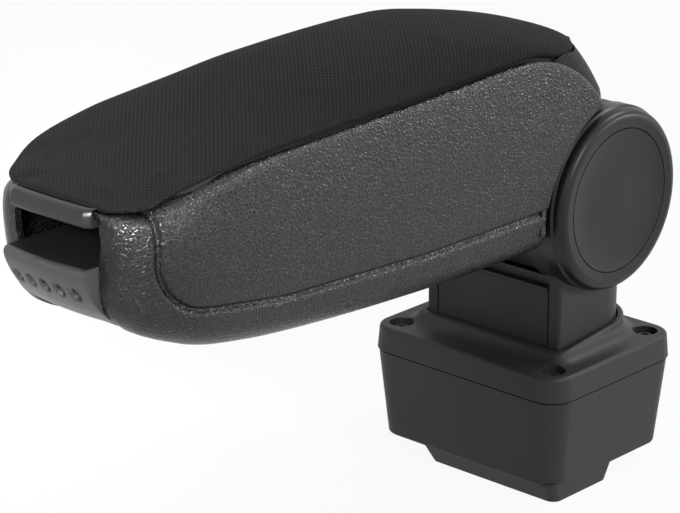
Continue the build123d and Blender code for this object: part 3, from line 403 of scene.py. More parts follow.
@dataclass(frozen=True)
class Steel(Finish):
    """Plated or blackened steel of bolts, pins and screws."""

    name: str
    level: float
    metallic: float
    roughness: float
    # Size of the marks, their depth, strength, shades as shares of the level, and swing of roughness
    mark: float = 0.6 * MM
    depth: float = 0.04 * MM
    strength: float = 0.3
    shades: Tuple[float, float] = (0.85, 1.1)
    mark_rough: float = 0.16

    def fill(self, tree: Tree) -> None:
        """Add fine marks as bump and as unevenness of colour and gloss.

        Args:
            tree: The material's empty tree.
        """
        place = tree.place()
        marks = tree.noise(place, self.mark, 3.0)
        bump = tree.bump(marks, self.depth, self.strength)
        tree.surface(
            Base_Color=tree.mix(marks, *(grey(self.level * shade) for shade in self.shades)),
            Metallic=self.metallic, Roughness=self.roughness + (marks - 0.5) * self.mark_rough, Normal=bump)


SHELL_GRAIN = GrainedPlastic("black_leather_grain", 0.014, 0.19, 1.7 * MM, 0.22 * MM)
COVER_GRAIN = GrainedPlastic("black_cover_grain", 0.016, 0.4, 1.4 * MM, 0.6 * MM, 0.16)
CAP_SATIN = MouldedPlastic("cap_satin_charcoal", 0.011, 0.36, 0.35 * MM, 0.012 * MM, 0.25)
BASE_MATT = MouldedPlastic("base_matt_charcoal", 0.024, 0.5, 0.5 * MM, 0.03 * MM, 0.25)
PANEL_MATT = MouldedPlastic("panel_matt_black", 0.02, 0.5, 0.5 * MM, 0.03 * MM, 0.25)
TRIM_SATIN = MouldedPlastic("trim_satin_grey", 0.028, 0.34, 0.4 * MM, 0.01 * MM, 0.4)
# The grip wears the fascia's satin trim made darker: painted shade
GRIP_SHADED_SATIN = MouldedPlastic("grip_satin_painted_shade", 0.012, 0.34, 0.4 * MM, 0.01 * MM, 0.35)
# Near-black for the deep parts of the cups and the slot's floor behind the fascia: painted shade in the
# recesses
SLOT_SHADE = MouldedPlastic("slot_painted_shade", 0.006, 0.5, 0.5 * MM, 0.02 * MM, 0.2)
TRAY_MATT = MouldedPlastic("tray_matt_black", 0.014, 0.6, 0.7 * MM, 0.06 * MM, 0.3)
NYLON = MouldedPlastic("natural_nylon", 0.7, 0.45, 0.8 * MM, 0.01 * MM)
RUBBER = MouldedPlastic("bumper_rubber", 0.012, 0.75, 0.6 * MM, 0.03 * MM, 0.3)
PAD_CLOTH = WovenFabric("black_woven_cloth", 0.0072, 1.1 * MM, 0.3 * MM)
ZINC = Steel("zinc_plated_steel", 0.6, 1.0, 0.32)
BLACK_STEEL = Steel("black_screw_steel", 0.05, 0.6, 0.36)


def from_hinge(point: Sequence[float]) -> Point:
    """Millimetres from the main hinge as metres in the frame."""
    return (point[0] * MM, (point[1] + HINGE[0]) * MM, (point[2] + HINGE[1]) * MM)


def run_along(points: np.ndarray) -> np.ndarray:
    """Way along a line of points, from 0 at its start."""
    return np.concatenate([[0.0], np.cumsum(np.hypot(*np.diff(points, axis=0).T))])


def smooth_table(known: np.ndarray, values: np.ndarray, wanted: np.ndarray) -> np.ndarray:
    """Monotone cubic through a table of values.

    Args:
        known: Rising places of the table.
        values: Values there.
        wanted: Places to work out.

    Returns:
        Values at the wanted places.
    """
    step = np.diff(known)
    rise = np.diff(values) / step
    slope = np.zeros(len(values))
    same = rise[:-1] * rise[1:] > 0
    weight = 2 * step[1:] + step[:-1], step[1:] + 2 * step[:-1]
    safe = np.where(same, rise[:-1], 1.0), np.where(same, rise[1:], 1.0)
    slope[1:-1] = np.where(same, (weight[0] + weight[1]) / (weight[0] / safe[0] + weight[1] / safe[1]), 0.0)
    slope[0], slope[-1] = rise[0], rise[-1]
    cell = np.clip(np.searchsorted(known, wanted) - 1, 0, len(step) - 1)
    part = (wanted - known[cell]) / step[cell]
    square, cube = part ** 2, part ** 3
    return ((2 * cube - 3 * square + 1) * values[cell] + (cube - 2 * square + part) * step[cell] * slope[cell]
            + (3 * square - 2 * cube) * values[cell + 1] + (cube - square) * step[cell] * slope[cell + 1])


def walled_grid(mesh: bmesh.types.BMesh, outer: np.ndarray, inner: np.ndarray, kept: np.ndarray) -> None:
    """Add a sheet with a wall: two grids of points that are joined round every open edge.

    Args:
        mesh: Mesh to add to.
        outer: Points of the outer face, columns by rows by 3.
        inner: Points of the inner face.
        kept: Which cells of the grid are there.
    """
    layers: List[Dict[Cell, bmesh.types.BMVert]] = [{}, {}]
    edges: Dict[Tuple[Cell, Cell], bool] = {}
    for i, j in zip(*np.nonzero(kept)):
        cells = [(i, j), (i + 1, j), (i + 1, j + 1), (i, j + 1)]
        for layer, points in zip(layers, (outer, inner)):
            for cell in cells:
                if cell not in layer:
                    layer[cell] = mesh.verts.new(from_hinge(points[cell]))
            mesh.faces.new([layer[cell] for cell in cells]).smooth = True
        for first, second in zip(cells, cells[1:] + cells[:1]):
            if not edges.pop((second, first), False):
                edges[first, second] = True
    for first, second in edges:
        mesh.faces.new((layers[0][first], layers[0][second], layers[1][second], layers[1][first]))


def link_mesh(name: str, mesh: bmesh.types.BMesh) -> bpy.types.Object:
    """Turn a built mesh into an object of the scene.

    Args:
        name: Name of the object.
        mesh: Its mesh, which is used up.

    Returns:
        The object.
    """
    data = bpy.data.meshes.new(name)
    mesh.to_mesh(data)
    mesh.free()
    piece = bpy.data.objects.new(name, data)
    bpy.context.scene.collection.objects.link(piece)
    return piece


def mesh_piece(name: str, mesh: bmesh.types.BMesh, finish: Finish, body: Body, node: str) -> bpy.types.Object:
    """Turn a built mesh into a dressed piece in place of a solid.

    Args:
        name: Name of the piece.
        mesh: Its mesh, which is used up.
        finish: What it wears.
        body: The body that carries it.
        node: The solid that it stands for.

    Returns:
        The piece.
    """
    bmesh.ops.recalc_face_normals(mesh, faces=mesh.faces)
    piece = link_mesh(name, mesh)
    finish.dress(piece)
    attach(piece, body.value)
    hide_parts(node)
    return piece


def round_edges(piece: bpy.types.Object, radius: float, angle: float) -> None:
    """Add a small radius along a piece's sharp edges.

    Args:
        piece: The piece.
        radius: Radius in metres.
        angle: Edges that turn by more than this are rounded, in degrees.
    """
    bevel = piece.modifiers.new("edge_round", "BEVEL")
    bevel.width = radius
    bevel.segments = 2
    bevel.limit_method = "ANGLE"
    bevel.angle_limit = math.radians(angle)


@dataclass
class MouldedPieces:
    """The rigid pieces: every solid's finish, and a small radius on those that keep the solid's shape."""

    finishes: Dict[Finish, List[str]] = field(default_factory=lambda: {
        SHELL_GRAIN: ["arm_shell"],
        COVER_GRAIN: ["rear_cover"],
        CAP_SATIN: ["hinge_cap_right", "hinge_cap_left", "cap_disc_right", "cap_disc_left"],
        BASE_MATT: ["insert_box", "base_flange", "post_body", "hinge_knuckle"],
        PANEL_MATT: ["post_front_panel"],
        TRIM_SATIN: ["front_panel", "lid_grip"],
        TRAY_MATT: ["storage_tray", "lid_base"],
        NYLON: ["thrust_washers", "knuckle_bushes"],
        RUBBER: ["lid_bumpers"],
        ZINC: ["hinge_bolt", "hinge_nut", "hinge_washers", "lid_hinge_pin"],
        BLACK_STEEL: ["base_screws", "post_screws", "knuckle_screws", "tray_screws", "front_panel_screws",
                      "grip_screws"],
    })
    edge_round: Dict[str, float] = field(default_factory=lambda: {
        "insert_box": 0.5 * MM, "base_flange": 0.35 * MM, "post_body": 0.5 * MM,
        "post_front_panel": 0.4 * MM, "storage_tray": 0.5 * MM,
    })
    edge_angle: float = 40.0

    def dress(self, nodes: Dict[str, bpy.types.Object]) -> None:
        """Give every solid its finish, and the visible ones a small radius on their edges.

        Args:
            nodes: The solids by name.
        """
        for finish, names in self.finishes.items():
            for name in names:
                finish.dress(nodes[name])
                LOG.info("%s wears %s", name, finish.name)
        for name, radius in self.edge_round.items():
            round_edges(nodes[name], radius, self.edge_angle)


@dataclass
class ArmSkin:
    """Moulded shell of the arm: drafted cheeks with a soft valley, a rounded rim, and the rear bulkhead."""

    # Half width at the belly, height of the underside, and how far foot and brow lie inside the belly
    half: float = 50.0
    floor: float = -14.8
    foot_tuck: float = 5.5
    brow_tuck: float = 3.5
    # Heights of belly and brow, radius of the foot with its least turn, and thickness
    belly: float = 38.0
    brow: float = 79.5
    foot_round: float = 13.0
    foot_turn: float = 0.1
    wall: float = 3.0
    # Radius over the rim at the front and at the rear, and where it changes
    rim_round: Tuple[float, float] = (5.6, 2.4)
    rim_change: Tuple[float, float] = (-255.0, -190.0)
    # How far the rim's inner edge lies below its outer one, and the least land between them
    rim_drop: float = 0.3
    rim_land: float = 0.6
    # Above lean_from the horns at the front lean in: fully in front of the span, not at all behind it
    horn_lean: float = 0.012
    horn_span: Tuple[float, float] = (-262.0, -236.0)
    lean_from: float = 44.0
    # Distance of the round rear edge and of the walls' inside from the hinge
    sweep: float = 47.5
    # Half width of the mouth for the fascia, its rear end, and how exactly that end is met
    mouth: float = 22.55
    mouth_end: float = -260.0
    slack: float = 0.01
    # Behind this place the columns lean over to the round rear edge
    patch_start: float = -70.0
    # Depth of the valley, and how far from its line it has lost about two thirds of that
    valley_depth: float = 2.2
    valley_reach: float = 1.3
    # Where the valley starts beside the mouth, and over which width it gets its depth
    valley_fade: Tuple[float, float] = (4.0, 6.0)
    # Outline seen from above: place along the arm and half width
    plan: Table = (
        (-282.6, 22.6), (-282.5, 25.4), (-281.8, 29.0), (-280.0, 32.6), (-277.0, 36.5), (-273.0, 39.6),
        (-269.0, 42.0), (-263.0, 44.4), (-256.0, 46.3), (-247.0, 47.7), (-236.0, 48.8), (-225.0, 49.4),
        (-213.0, 49.8), (-181.0, 49.98), (-70.0, 50.0))
    # Rise of the underside above its rear height
    keel: Table = (
        (-283.0, 35.5), (-282.0, 35.3), (-280.0, 32.6), (-277.0, 29.4), (-273.0, 26.0), (-269.0, 23.0),
        (-263.0, 20.0), (-256.0, 17.2), (-247.0, 14.0), (-236.0, 11.6), (-225.0, 9.9), (-213.0, 8.3),
        (-181.0, 5.2), (-142.0, 2.6), (-102.0, 0.8), (-62.0, 0.0), (0.0, 0.0))
    # Height of the rim
    rim: Table = (
        (-288.0, 58.3), (-271.0, 58.6), (-268.0, 59.8), (-264.0, 62.0), (-256.0, 64.4), (-239.0, 67.6),
        (-214.0, 69.7), (-178.0, 70.8), (-138.0, 71.9), (-98.0, 73.1), (-69.0, 74.0), (-62.0, 74.0))
    # The cheek's panel: top of its upright line, round corner (place, height, radius, turn) and lower line,
    # the span of that line, and the number of points on each of the three
    panel_top: float = 90.0
    panel_corner: Tuple[float, float, float, float] = (-246.0, 40.5, 24.0, 82.1)
    panel_line: Table = ((-207.0, 10.9), (-120.0, 6.2), (0.0, 5.0))
    panel_span: Tuple[float, float] = (-250.0, 0.0)
    panel_points: Tuple[int, int, int] = (40, 60, 200)
    # Round walls in front of the knuckle: left and right end, first and last angle round the hinge
    saddle: Table = (
        (-47.2, 47.2, 103.5, 142.8), (-47.2, -26.5, 142.8, 185.7), (26.5, 47.2, 142.8, 185.7),
        (-36.0, 36.0, 185.7, 194.5), (-16.4, 16.4, 81.3, 103.5))
    saddle_steps: int = 12
    # Lugs of the lid's pin: the pin's place and height, radius, foot, inner and outer end
    lug_pin: Tuple[float, float] = (3.0, 64.5)
    lug_radius: float = 2.6
    lug_foot: float = 49.0
    lug_ends: Tuple[float, float] = (11.4, 16.3)
    # Seat of the fascia on the floor
    seat: Table = ((-260.0, 5.4), (-251.0, 3.0), (-251.0, 11.0), (-260.0, 11.0))
    seat_half: float = 22.0
    # Columns: closer together up to the end of the plan's round corner
    corner_end: float = -236.0
    corner_step: float = 0.7
    side_columns: int = 66
    rear_columns: int = 26
    rim_rows: int = 9
    cheek_rows: Tuple[int, int] = (16, 50)
    cheek_split: float = 0.45
    foot_rows: int = 12
    floor_rows: int = 5

    def build(self) -> bpy.types.Object:
        """Mould the shell.

        Returns:
            The shell, on the arm.
        """
        mesh = bmesh.new()
        self._shell(mesh)
        self._bulkhead(mesh)
        return mesh_piece("arm_skin", mesh, SHELL_GRAIN, Body.ARM, "arm_shell")

    def _columns(self) -> np.ndarray:
        """Places of the straight columns: along the plan's curve at the front, then along the arm.

        Returns:
            Place along the arm and half width of each column.
        """
        plan = np.array(self.plan)
        run = run_along(plan)
        corner = run[np.flatnonzero(plan[:, 0] == self.corner_end)[0]]
        wanted = np.concatenate([np.arange(0.0, corner, self.corner_step),
                                 np.linspace(corner, run[-1], self.side_columns)])
        y = smooth_table(run, plan[:, 0], wanted)
        y[np.argmin(np.abs(y - self.mouth_end))] = self.mouth_end
        return np.stack([y, smooth_table(run, plan[:, 1], wanted)], axis=1)

    def _cheek(self, half: np.ndarray, floor: np.ndarray) -> Tuple[np.ndarray, np.ndarray, np.ndarray]:
        """Circle of the cheek's section through foot, belly and brow.

        Args:
            half: Half width at the belly.
            floor: Height of the underside.

        Returns:
            Centre across, centre's height and radius.
        """
        foot, brow = half - self.foot_tuck, half - self.brow_tuck
        a, b = 2 * (half - foot), 2 * (self.belly - floor)
        c = half ** 2 - foot ** 2 + self.belly ** 2 - floor ** 2
        d, e = 2 * (brow - half), 2 * (self.brow - self.belly)
        f = brow ** 2 - half ** 2 + self.brow ** 2 - self.belly ** 2
        across = (c * e - b * f) / (a * e - b * d)
        height = (a * f - c * d) / (a * e - b * d)
        return across, height, np.hypot(half - across, self.belly - height)

    def _form(self) -> Grids:
        """Smooth form of the right half, from the rim over the cheek and the foot to the middle of the floor.

        Returns:
            Points (columns by rows by 3), and how far the round over the rim lies inside each of the cheek's.
        """
        front = self._columns()
        share = np.linspace(0.0, 1.0, self.rear_columns + 1)[1:]
        rear = slice(len(front), None)
        y0 = np.concatenate([front[:, 0], np.full(len(share), self.patch_start)])
        half = np.concatenate([front[:, 1], np.full(len(share), self.half)])
        keel, rim = np.array(self.keel), np.array(self.rim)
        floor = self.floor + smooth_table(keel[:, 0], keel[:, 1], np.clip(y0, keel[0, 0], 0.0))
        top = smooth_table(rim[:, 0], rim[:, 1], np.clip(y0, rim[0, 0], rim[-1, 0]))
        across, height, radius = self._cheek(half, floor)
        foot_z = floor + self.foot_round
        foot_x = across + np.sqrt((radius - self.foot_round) ** 2 - (foot_z - height) ** 2)
        grow = radius / (radius - self.foot_round)
        touch = np.stack([across + (foot_x - across) * grow, height + (foot_z - height) * grow], axis=1)
        down, inset = self._rows(y0, top - touch[:, 1])
        y = np.repeat(y0[:, None], down.shape[1], axis=1)
        z = top[:, None] + (touch[:, 1] - top)[:, None] * down
        y[rear], z[rear] = self._rear_patch(share, down[-1], top[-1], touch[-1, 1])
        x = across[:, None] + np.sqrt(np.maximum(radius[:, None] ** 2 - (z - height[:, None]) ** 2, 0.0))
        lean = np.clip((self.horn_span[1] - y0) / (self.horn_span[1] - self.horn_span[0]), 0.0, 1.0)
        x -= self.horn_lean * lean[:, None] * np.maximum(z - self.lean_from, 0.0) ** 2
        low_x, low_z = self._foot(foot_x, foot_z, touch)
        low_y = np.repeat(y0[:, None], low_z.shape[1], axis=1)
        low_y[rear] += (-np.sqrt(self.sweep ** 2 - low_z[rear] ** 2) - self.patch_start) * share[:, None]
        middle = np.linspace(1.0, 0.0, self.floor_rows + 1)[1:]
        floor_x = np.repeat(middle[None, :] * self.mouth, len(y0), axis=0)
        floor_y = np.repeat(low_y[:, -1:], self.floor_rows, axis=1)
        floor_z = np.repeat(low_z[:, -1:], self.floor_rows, axis=1)
        return np.stack([
            np.concatenate([np.maximum(x, self.mouth), np.maximum(low_x, self.mouth), floor_x], axis=1),
            np.concatenate([y, low_y, floor_y], axis=1),
            np.concatenate([z, low_z, floor_z], axis=1)], axis=2), inset

    def _faces(self, form: np.ndarray, inset: np.ndarray) -> Grids:
        """Give the smooth form its wall, the valley and the round over the rim.

        Args:
            form: Points of the form, columns by rows by 3.
            inset: How far the round over the rim lies inside each of the cheek's points.

        Returns:
            Outer and inner points.
        """
        normal = np.cross(np.gradient(form, axis=1), np.gradient(form, axis=0))
        normal /= np.maximum(np.linalg.norm(normal, axis=2, keepdims=True), TINY)
        inner = form - normal * self.wall
        inner[:, :self.rim_rows, 2] -= self.rim_drop
        inner[:, :self.rim_rows, 0] -= np.maximum(inset[:, :1] + self.rim_land - self.wall, 0.0)
        outer = form - normal * self._valley(form)[:, :, None]
        outer[:, :inset.shape[1], 0] -= inset
        for points in (outer, inner):
            points[:, -1, 0] = 0.0
        return outer, inner

    def _rows(self, places: np.ndarray, drop: np.ndarray) -> Grids:
        """Rows from the rim to the foot: a round over the rim, then the cheek, closer together low down.

        Args:
            places: Place of each column along the arm.
            drop: Height of the cheek there.

        Returns:
            Share of the way down, and how far each row lies inside the cheek.
        """
        change = np.clip((places - self.rim_change[0]) / (self.rim_change[1] - self.rim_change[0]), 0.0, 1.0)
        radius = self.rim_round[0] + (self.rim_round[1] - self.rim_round[0]) * change
        turn = np.linspace(math.pi / 2, 0.0, self.rim_rows)
        rolled = radius[:, None] * (1 - np.sin(turn))[None, :] / drop[:, None]
        start = (radius / drop)[:, None]
        share = np.concatenate([np.linspace(0.0, self.cheek_split, self.cheek_rows[0] + 1)[1:],
                                np.linspace(self.cheek_split, 1.0, self.cheek_rows[1] + 1)[1:]])
        inset = np.zeros((len(drop), self.rim_rows + len(share)))
        inset[:, :self.rim_rows] = radius[:, None] * (1 - np.cos(turn))[None, :]
        return np.concatenate([rolled, start + (1 - start) * share[None, :]], axis=1), inset

    def _rear_patch(self, share: np.ndarray, down: np.ndarray, top: float, low: float) -> Grids:
        """Columns that lean over from upright to the round rear edge, between rim and foot.

        Args:
            share: Place of each column, up to 1 at the rear edge.
            down: Place of each row, up to 1 at the foot.
            top: Height of the rim where the patch starts.
            low: Height of the foot line.

        Returns:
            Places along the arm and heights, columns by rows.
        """
        arc_y, arc_z, arc_r = RIM_ARC
        apart = math.hypot(arc_y, arc_z)
        reach = (apart ** 2 + self.sweep ** 2 - arc_r ** 2) / (2 * apart)
        side = math.sqrt(self.sweep ** 2 - reach ** 2)
        meet = np.array([arc_y * reach + arc_z * side, arc_z * reach - arc_y * side]) / apart
        last = math.atan2(meet[1] - arc_z, meet[0] - arc_y)
        straight = arc_y - self.patch_start
        run = share * (straight + arc_r * (math.pi / 2 - last))
        turn = math.pi / 2 - np.maximum(run - straight, 0.0) / arc_r
        rim = np.stack([np.where(run < straight, self.patch_start + run, arc_y + arc_r * np.cos(turn)),
                        np.where(run < straight, top, arc_z + arc_r * np.sin(turn))], axis=1)
        first = math.atan2(meet[1], meet[0])
        turn = first + (math.pi - math.asin(low / self.sweep) - first) * down
        edge = self.sweep * np.stack([np.cos(turn), np.sin(turn)], axis=1)
        left = np.stack([np.full(len(down), self.patch_start), top + (low - top) * down], axis=1)
        foot = np.stack([self.patch_start + (edge[-1, 0] - self.patch_start) * share,
                         np.full(len(share), low)], axis=1)
        s, t = down[None, :, None], share[:, None, None]
        ends = ((1 - s) * ((1 - t) * left[0] + t * edge[0]) + s * ((1 - t) * left[-1] + t * edge[-1]))
        patch = (1 - s) * rim[:, None] + s * foot[:, None] + (1 - t) * left[None] + t * edge[None] - ends
        return patch[:, :, 0], patch[:, :, 1]

    def _foot(self, foot_x: np.ndarray, foot_z: np.ndarray, touch: np.ndarray) -> Grids:
        """Round from the cheek to the underside and on to the mouth's side.

        Args:
            foot_x: Middle of the round across the arm.
            foot_z: Its height.
            touch: Where it touches the cheek.

        Returns:
            Places across and heights, columns by rows.
        """
        begin = np.arctan2(touch[:, 1] - foot_z, touch[:, 0] - foot_x)
        reach = np.clip((self.mouth - foot_x) / self.foot_round, 0.0, 1.0)
        short = np.minimum(-np.arccos(reach), begin - self.foot_turn)
        stop = np.where(foot_x > self.mouth, -math.pi / 2, short)
        arc = self.foot_round * (begin - stop)
        flat = np.maximum(foot_x - self.mouth, 0.0)
        run = np.linspace(0.0, 1.0, self.foot_rows + 1)[None, 1:] * (arc + flat)[:, None]
        turn = np.maximum(begin[:, None] - run / self.foot_round, stop[:, None])
        x = foot_x[:, None] + self.foot_round * np.cos(turn) - np.maximum(run - arc[:, None], 0.0)
        return x, foot_z[:, None] + self.foot_round * np.sin(turn)

    def _valley(self, points: np.ndarray) -> np.ndarray:
        """Depth of the soft valley round the cheek's panel.

        Args:
            points: Points of the form, columns by rows by 3.

        Returns:
            Depths, columns by rows.
        """
        upright, bent, level = self.panel_points
        y, z, radius, angle = self.panel_corner
        turn = np.linspace(math.pi, math.pi + math.radians(angle), bent)
        corner = np.stack([y + radius * np.cos(turn), z + radius * np.sin(turn)], axis=1)
        low = np.concatenate([corner[-1:], np.array(self.panel_line)])
        along = np.linspace(*self.panel_span, level)
        line = np.concatenate([
            np.stack([np.full(upright, y - radius), np.linspace(self.panel_top, z, upright)], axis=1), corner,
            np.stack([along, np.interp(along, low[:, 0], low[:, 1])], axis=1)])
        away = np.array([np.hypot(*(column[:, None, 1:] - line[None]).transpose(2, 0, 1)).min(axis=1)
                         for column in points])
        begin, width = self.valley_fade
        side = np.clip((points[:, :, 0] - self.mouth - begin) / width, 0.0, 1.0)
        return self.valley_depth * np.exp(-(away / self.valley_reach) ** 2) * side

    def _shell(self, mesh: bmesh.types.BMesh) -> None:
        """Add both halves of the shell with their wall, open in front of the mouth's end.

        Args:
            mesh: Mesh to add to.
        """
        form, inset = self._form()
        faces = self._faces(form, inset)
        kept = np.ones((form.shape[0] - 1, form.shape[1] - 1), dtype=bool)
        mouth = form[:-1, -1, 1] < self.mouth_end - self.slack
        kept[mouth, inset.shape[1] + self.foot_rows - 1:] = False
        outer, inner = (np.concatenate([half, (half * (-1, 1, 1))[:, -2::-1]], axis=1) for half in faces)
        walled_grid(mesh, outer, inner, np.concatenate([kept, kept[:, ::-1]], axis=1))

    def _bulkhead(self, mesh: bmesh.types.BMesh) -> None:
        """Add the round walls in front of the knuckle, the lugs of the lid's pin, and the fascia's seat.

        Args:
            mesh: Mesh to add to.
        """
        near, far = self.sweep, self.sweep + self.wall
        for x0, x1, first, last in self.saddle:
            turns = np.radians(np.linspace(first, last, self.saddle_steps + 1))
            wall = [(near * math.cos(a), near * math.sin(a)) for a in turns]
            wall += [(far * math.cos(a), far * math.sin(a)) for a in reversed(turns)]
            self._prism(mesh, wall, x0, x1)
        y, z = self.lug_pin
        lug = [(y + self.lug_radius * math.cos(a), z + self.lug_radius * math.sin(a))
               for a in np.linspace(0.0, math.pi, self.saddle_steps + 1)]
        lug += [(y - self.lug_radius, self.lug_foot), (y + self.lug_radius, self.lug_foot)]
        for side in (1, -1):
            self._prism(mesh, lug, *sorted(side * end for end in self.lug_ends))
        self._prism(mesh, self.seat, -self.seat_half, self.seat_half)

    def _prism(self, mesh: bmesh.types.BMesh, outline: Sequence[Tuple[float, float]], x0: float,
               x1: float) -> None:
        """Add an outline drawn out along X.

        Args:
            mesh: Mesh to add to.
            outline: Places along the arm and heights.
            x0: Left end.
            x1: Right end.
        """
        ends = [[mesh.verts.new(from_hinge((x, y, z))) for y, z in outline] for x in (x0, x1)]
        for k in range(len(outline)):
            n = (k + 1) % len(outline)
            mesh.faces.new((ends[0][k], ends[0][n], ends[1][n], ends[1][k]))
        mesh.faces.new(ends[0])
        mesh.faces.new(ends[1][::-1])


@dataclass
class FrontTrim:
    """Grip bar of the lid, and under it the fascia with its row of cups."""

    half: float = 22.2
    step: float = 0.4
    fascia_bow: float = 1.8
    grip_bow: float = 0.8
    # Width and depth of the cut at the grip's corners
    grip_corner: Tuple[float, float] = (2.4, 1.9)
    edge_round: float = 0.5 * MM
    edge_angle: float = 50.0
    # The fronts are eased in this many passes, each by this share
    easing: Tuple[int, float] = (12, 0.25)
    cups: int = 5
    cup_pitch: float = 8.0
    cup_radius: float = 2.9
    cup_depth: float = 2.2
    cup_wall: float = 1.1
    cup_height: float = 25.8
    cup_shift: float = -1.6
    cup_stretch: float = 1.2
    # Share of a cup's depth from which it wears the painted shade
    cup_shade: float = 1 / 3
    # Sections, as places along the arm and heights: the front from its top to its foot, then the rest
    fascia_face: Table = (
        (-289.6, 37.6), (-291.0, 37.5), (-292.0, 36.9), (-292.3, 35.8), (-292.0, 33.4), (-290.8, 30.4),
        (-288.9, 26.6), (-286.2, 22.4), (-283.0, 18.4), (-279.2, 14.8), (-276.4, 12.6), (-275.6, 12.2))
    fascia_back: Table = (
        (-274.6, 12.6), (-262.0, 11.2), (-251.0, 11.2), (-251.0, 34.4), (-236.5, 34.4), (-236.5, 37.6))
    grip_face: Table = (
        (-285.0, 60.6), (-286.8, 60.5), (-287.9, 59.9), (-288.5, 58.8), (-288.7, 57.0), (-288.7, 55.0),
        (-288.4, 53.9), (-287.8, 53.4))
    grip_back: Table = (
        (-286.8, 53.3), (-262.0, 53.3), (-262.0, 55.7), (-284.4, 55.9), (-284.4, 60.0))

    def build(self) -> List[bpy.types.Object]:
        """Build both pieces.

        Returns:
            Fascia and grip.
        """
        fascia = mesh_piece("fascia", self._bar(self.fascia_face, self.fascia_back, self.fascia_bow, True),
                            TRIM_SATIN, Body.ARM, "front_panel")
        grip = mesh_piece("grip_bar", self._bar(self.grip_face, self.grip_back, self.grip_bow, False),
                          GRIP_SHADED_SATIN, Body.LID, "lid_grip")
        # Second material: painted shade in the cups and on the slot's floor
        fascia.data.materials.append(SLOT_SHADE.make())
        for piece in (fascia, grip):
            round_edges(piece, self.edge_round, self.edge_angle)
        return [fascia, grip]

    def _bar(self, face: Table, back: Table, bow: float, cupped: bool) -> bmesh.types.BMesh:
        """Draw a section across the arm.

        Args:
            face: Front of the section, from its top to its foot.
            back: The rest of the section.
            bow: How far the front's middle stands out.
            cupped: Whether the row of cups is pressed into the front; else the front's corners are cut back.

        Returns:
            Closed mesh; the floors of the cups and the top behind the front have the second material, a
            near-black painted shade.
        """
        front = self._eased(np.array(face))
        slope = np.gradient(front, axis=0)
        inward = np.stack([-slope[:, 1], slope[:, 0]], axis=1) / np.hypot(slope[:, 0], slope[:, 1])[:, None]
        across = np.linspace(-self.half, self.half, int(2 * self.half / self.step) + 1)
        section = np.concatenate([front, np.array(back)])
        size, count = len(section), len(front)
        points = np.empty((len(across), size, 3))
        points[:, :, 0] = across[:, None]
        points[:, :, 1:] = section[None]
        points[:, :count, 1] += bow * (across / self.half)[:, None] ** 2
        deep = np.zeros((len(across), count))
        if cupped:
            deep = self._cups(points[:, :count])
            points[:, :count, 1:] += deep[:, :, None] * inward[None]
        else:
            width, depth = self.grip_corner
            cut = np.clip((np.abs(across) - self.half + width) / width, 0, 1)
            points[:, :count, 1] += depth * cut[:, None]
        mesh = bmesh.new()
        rows = [[mesh.verts.new(from_hinge(p)) for p in row] for row in points]
        for i, (left, right) in enumerate(zip(rows, rows[1:])):
            for j in range(size):
                k = (j + 1) % size
                skin = mesh.faces.new((left[j], right[j], right[k], left[k]))
                skin.smooth = j < count - 1
                # Deep in the cups and on the top behind the front the face gets the painted shade
                dark = deep[i, j] > self.cup_depth * self.cup_shade if skin.smooth else k == 0
                skin.material_index = int(cupped and dark)
        mesh.faces.new(rows[0])
        mesh.faces.new(rows[-1][::-1])
        return mesh

    def _eased(self, known: np.ndarray) -> np.ndarray:
        """Front of a section in even steps, with its corners eased.

        Args:
            known: Points of the front.

        Returns:
            The eased points.
        """
        run = run_along(known)
        wanted = np.linspace(0.0, run[-1], int(run[-1] / self.step) + 1)
        front = np.stack([np.interp(wanted, run, known[:, 0]), np.interp(wanted, run, known[:, 1])], axis=1)
        passes, share = self.easing
        for _ in range(passes):
            front[1:-1] += share * (front[2:] - 2 * front[1:-1] + front[:-2])
        return front

    def _cups(self, points: np.ndarray) -> np.ndarray:
        """Depth of the row of round cups at points of the fascia's front.

        Args:
            points: The front's points.

        Returns:
            A depth for each point.
        """
        places = (np.arange(self.cups) - (self.cups - 1) / 2) * self.cup_pitch + self.cup_shift
        tall = (points[:, :, 2] - self.cup_height) / self.cup_stretch
        away = np.min([np.hypot(points[:, :, 0] - x, tall) for x in places], axis=0)
        share = np.clip((self.cup_radius - away) / self.cup_wall, 0.0, 1.0)
        return self.cup_depth * share ** 2 * (3 - 2 * share)


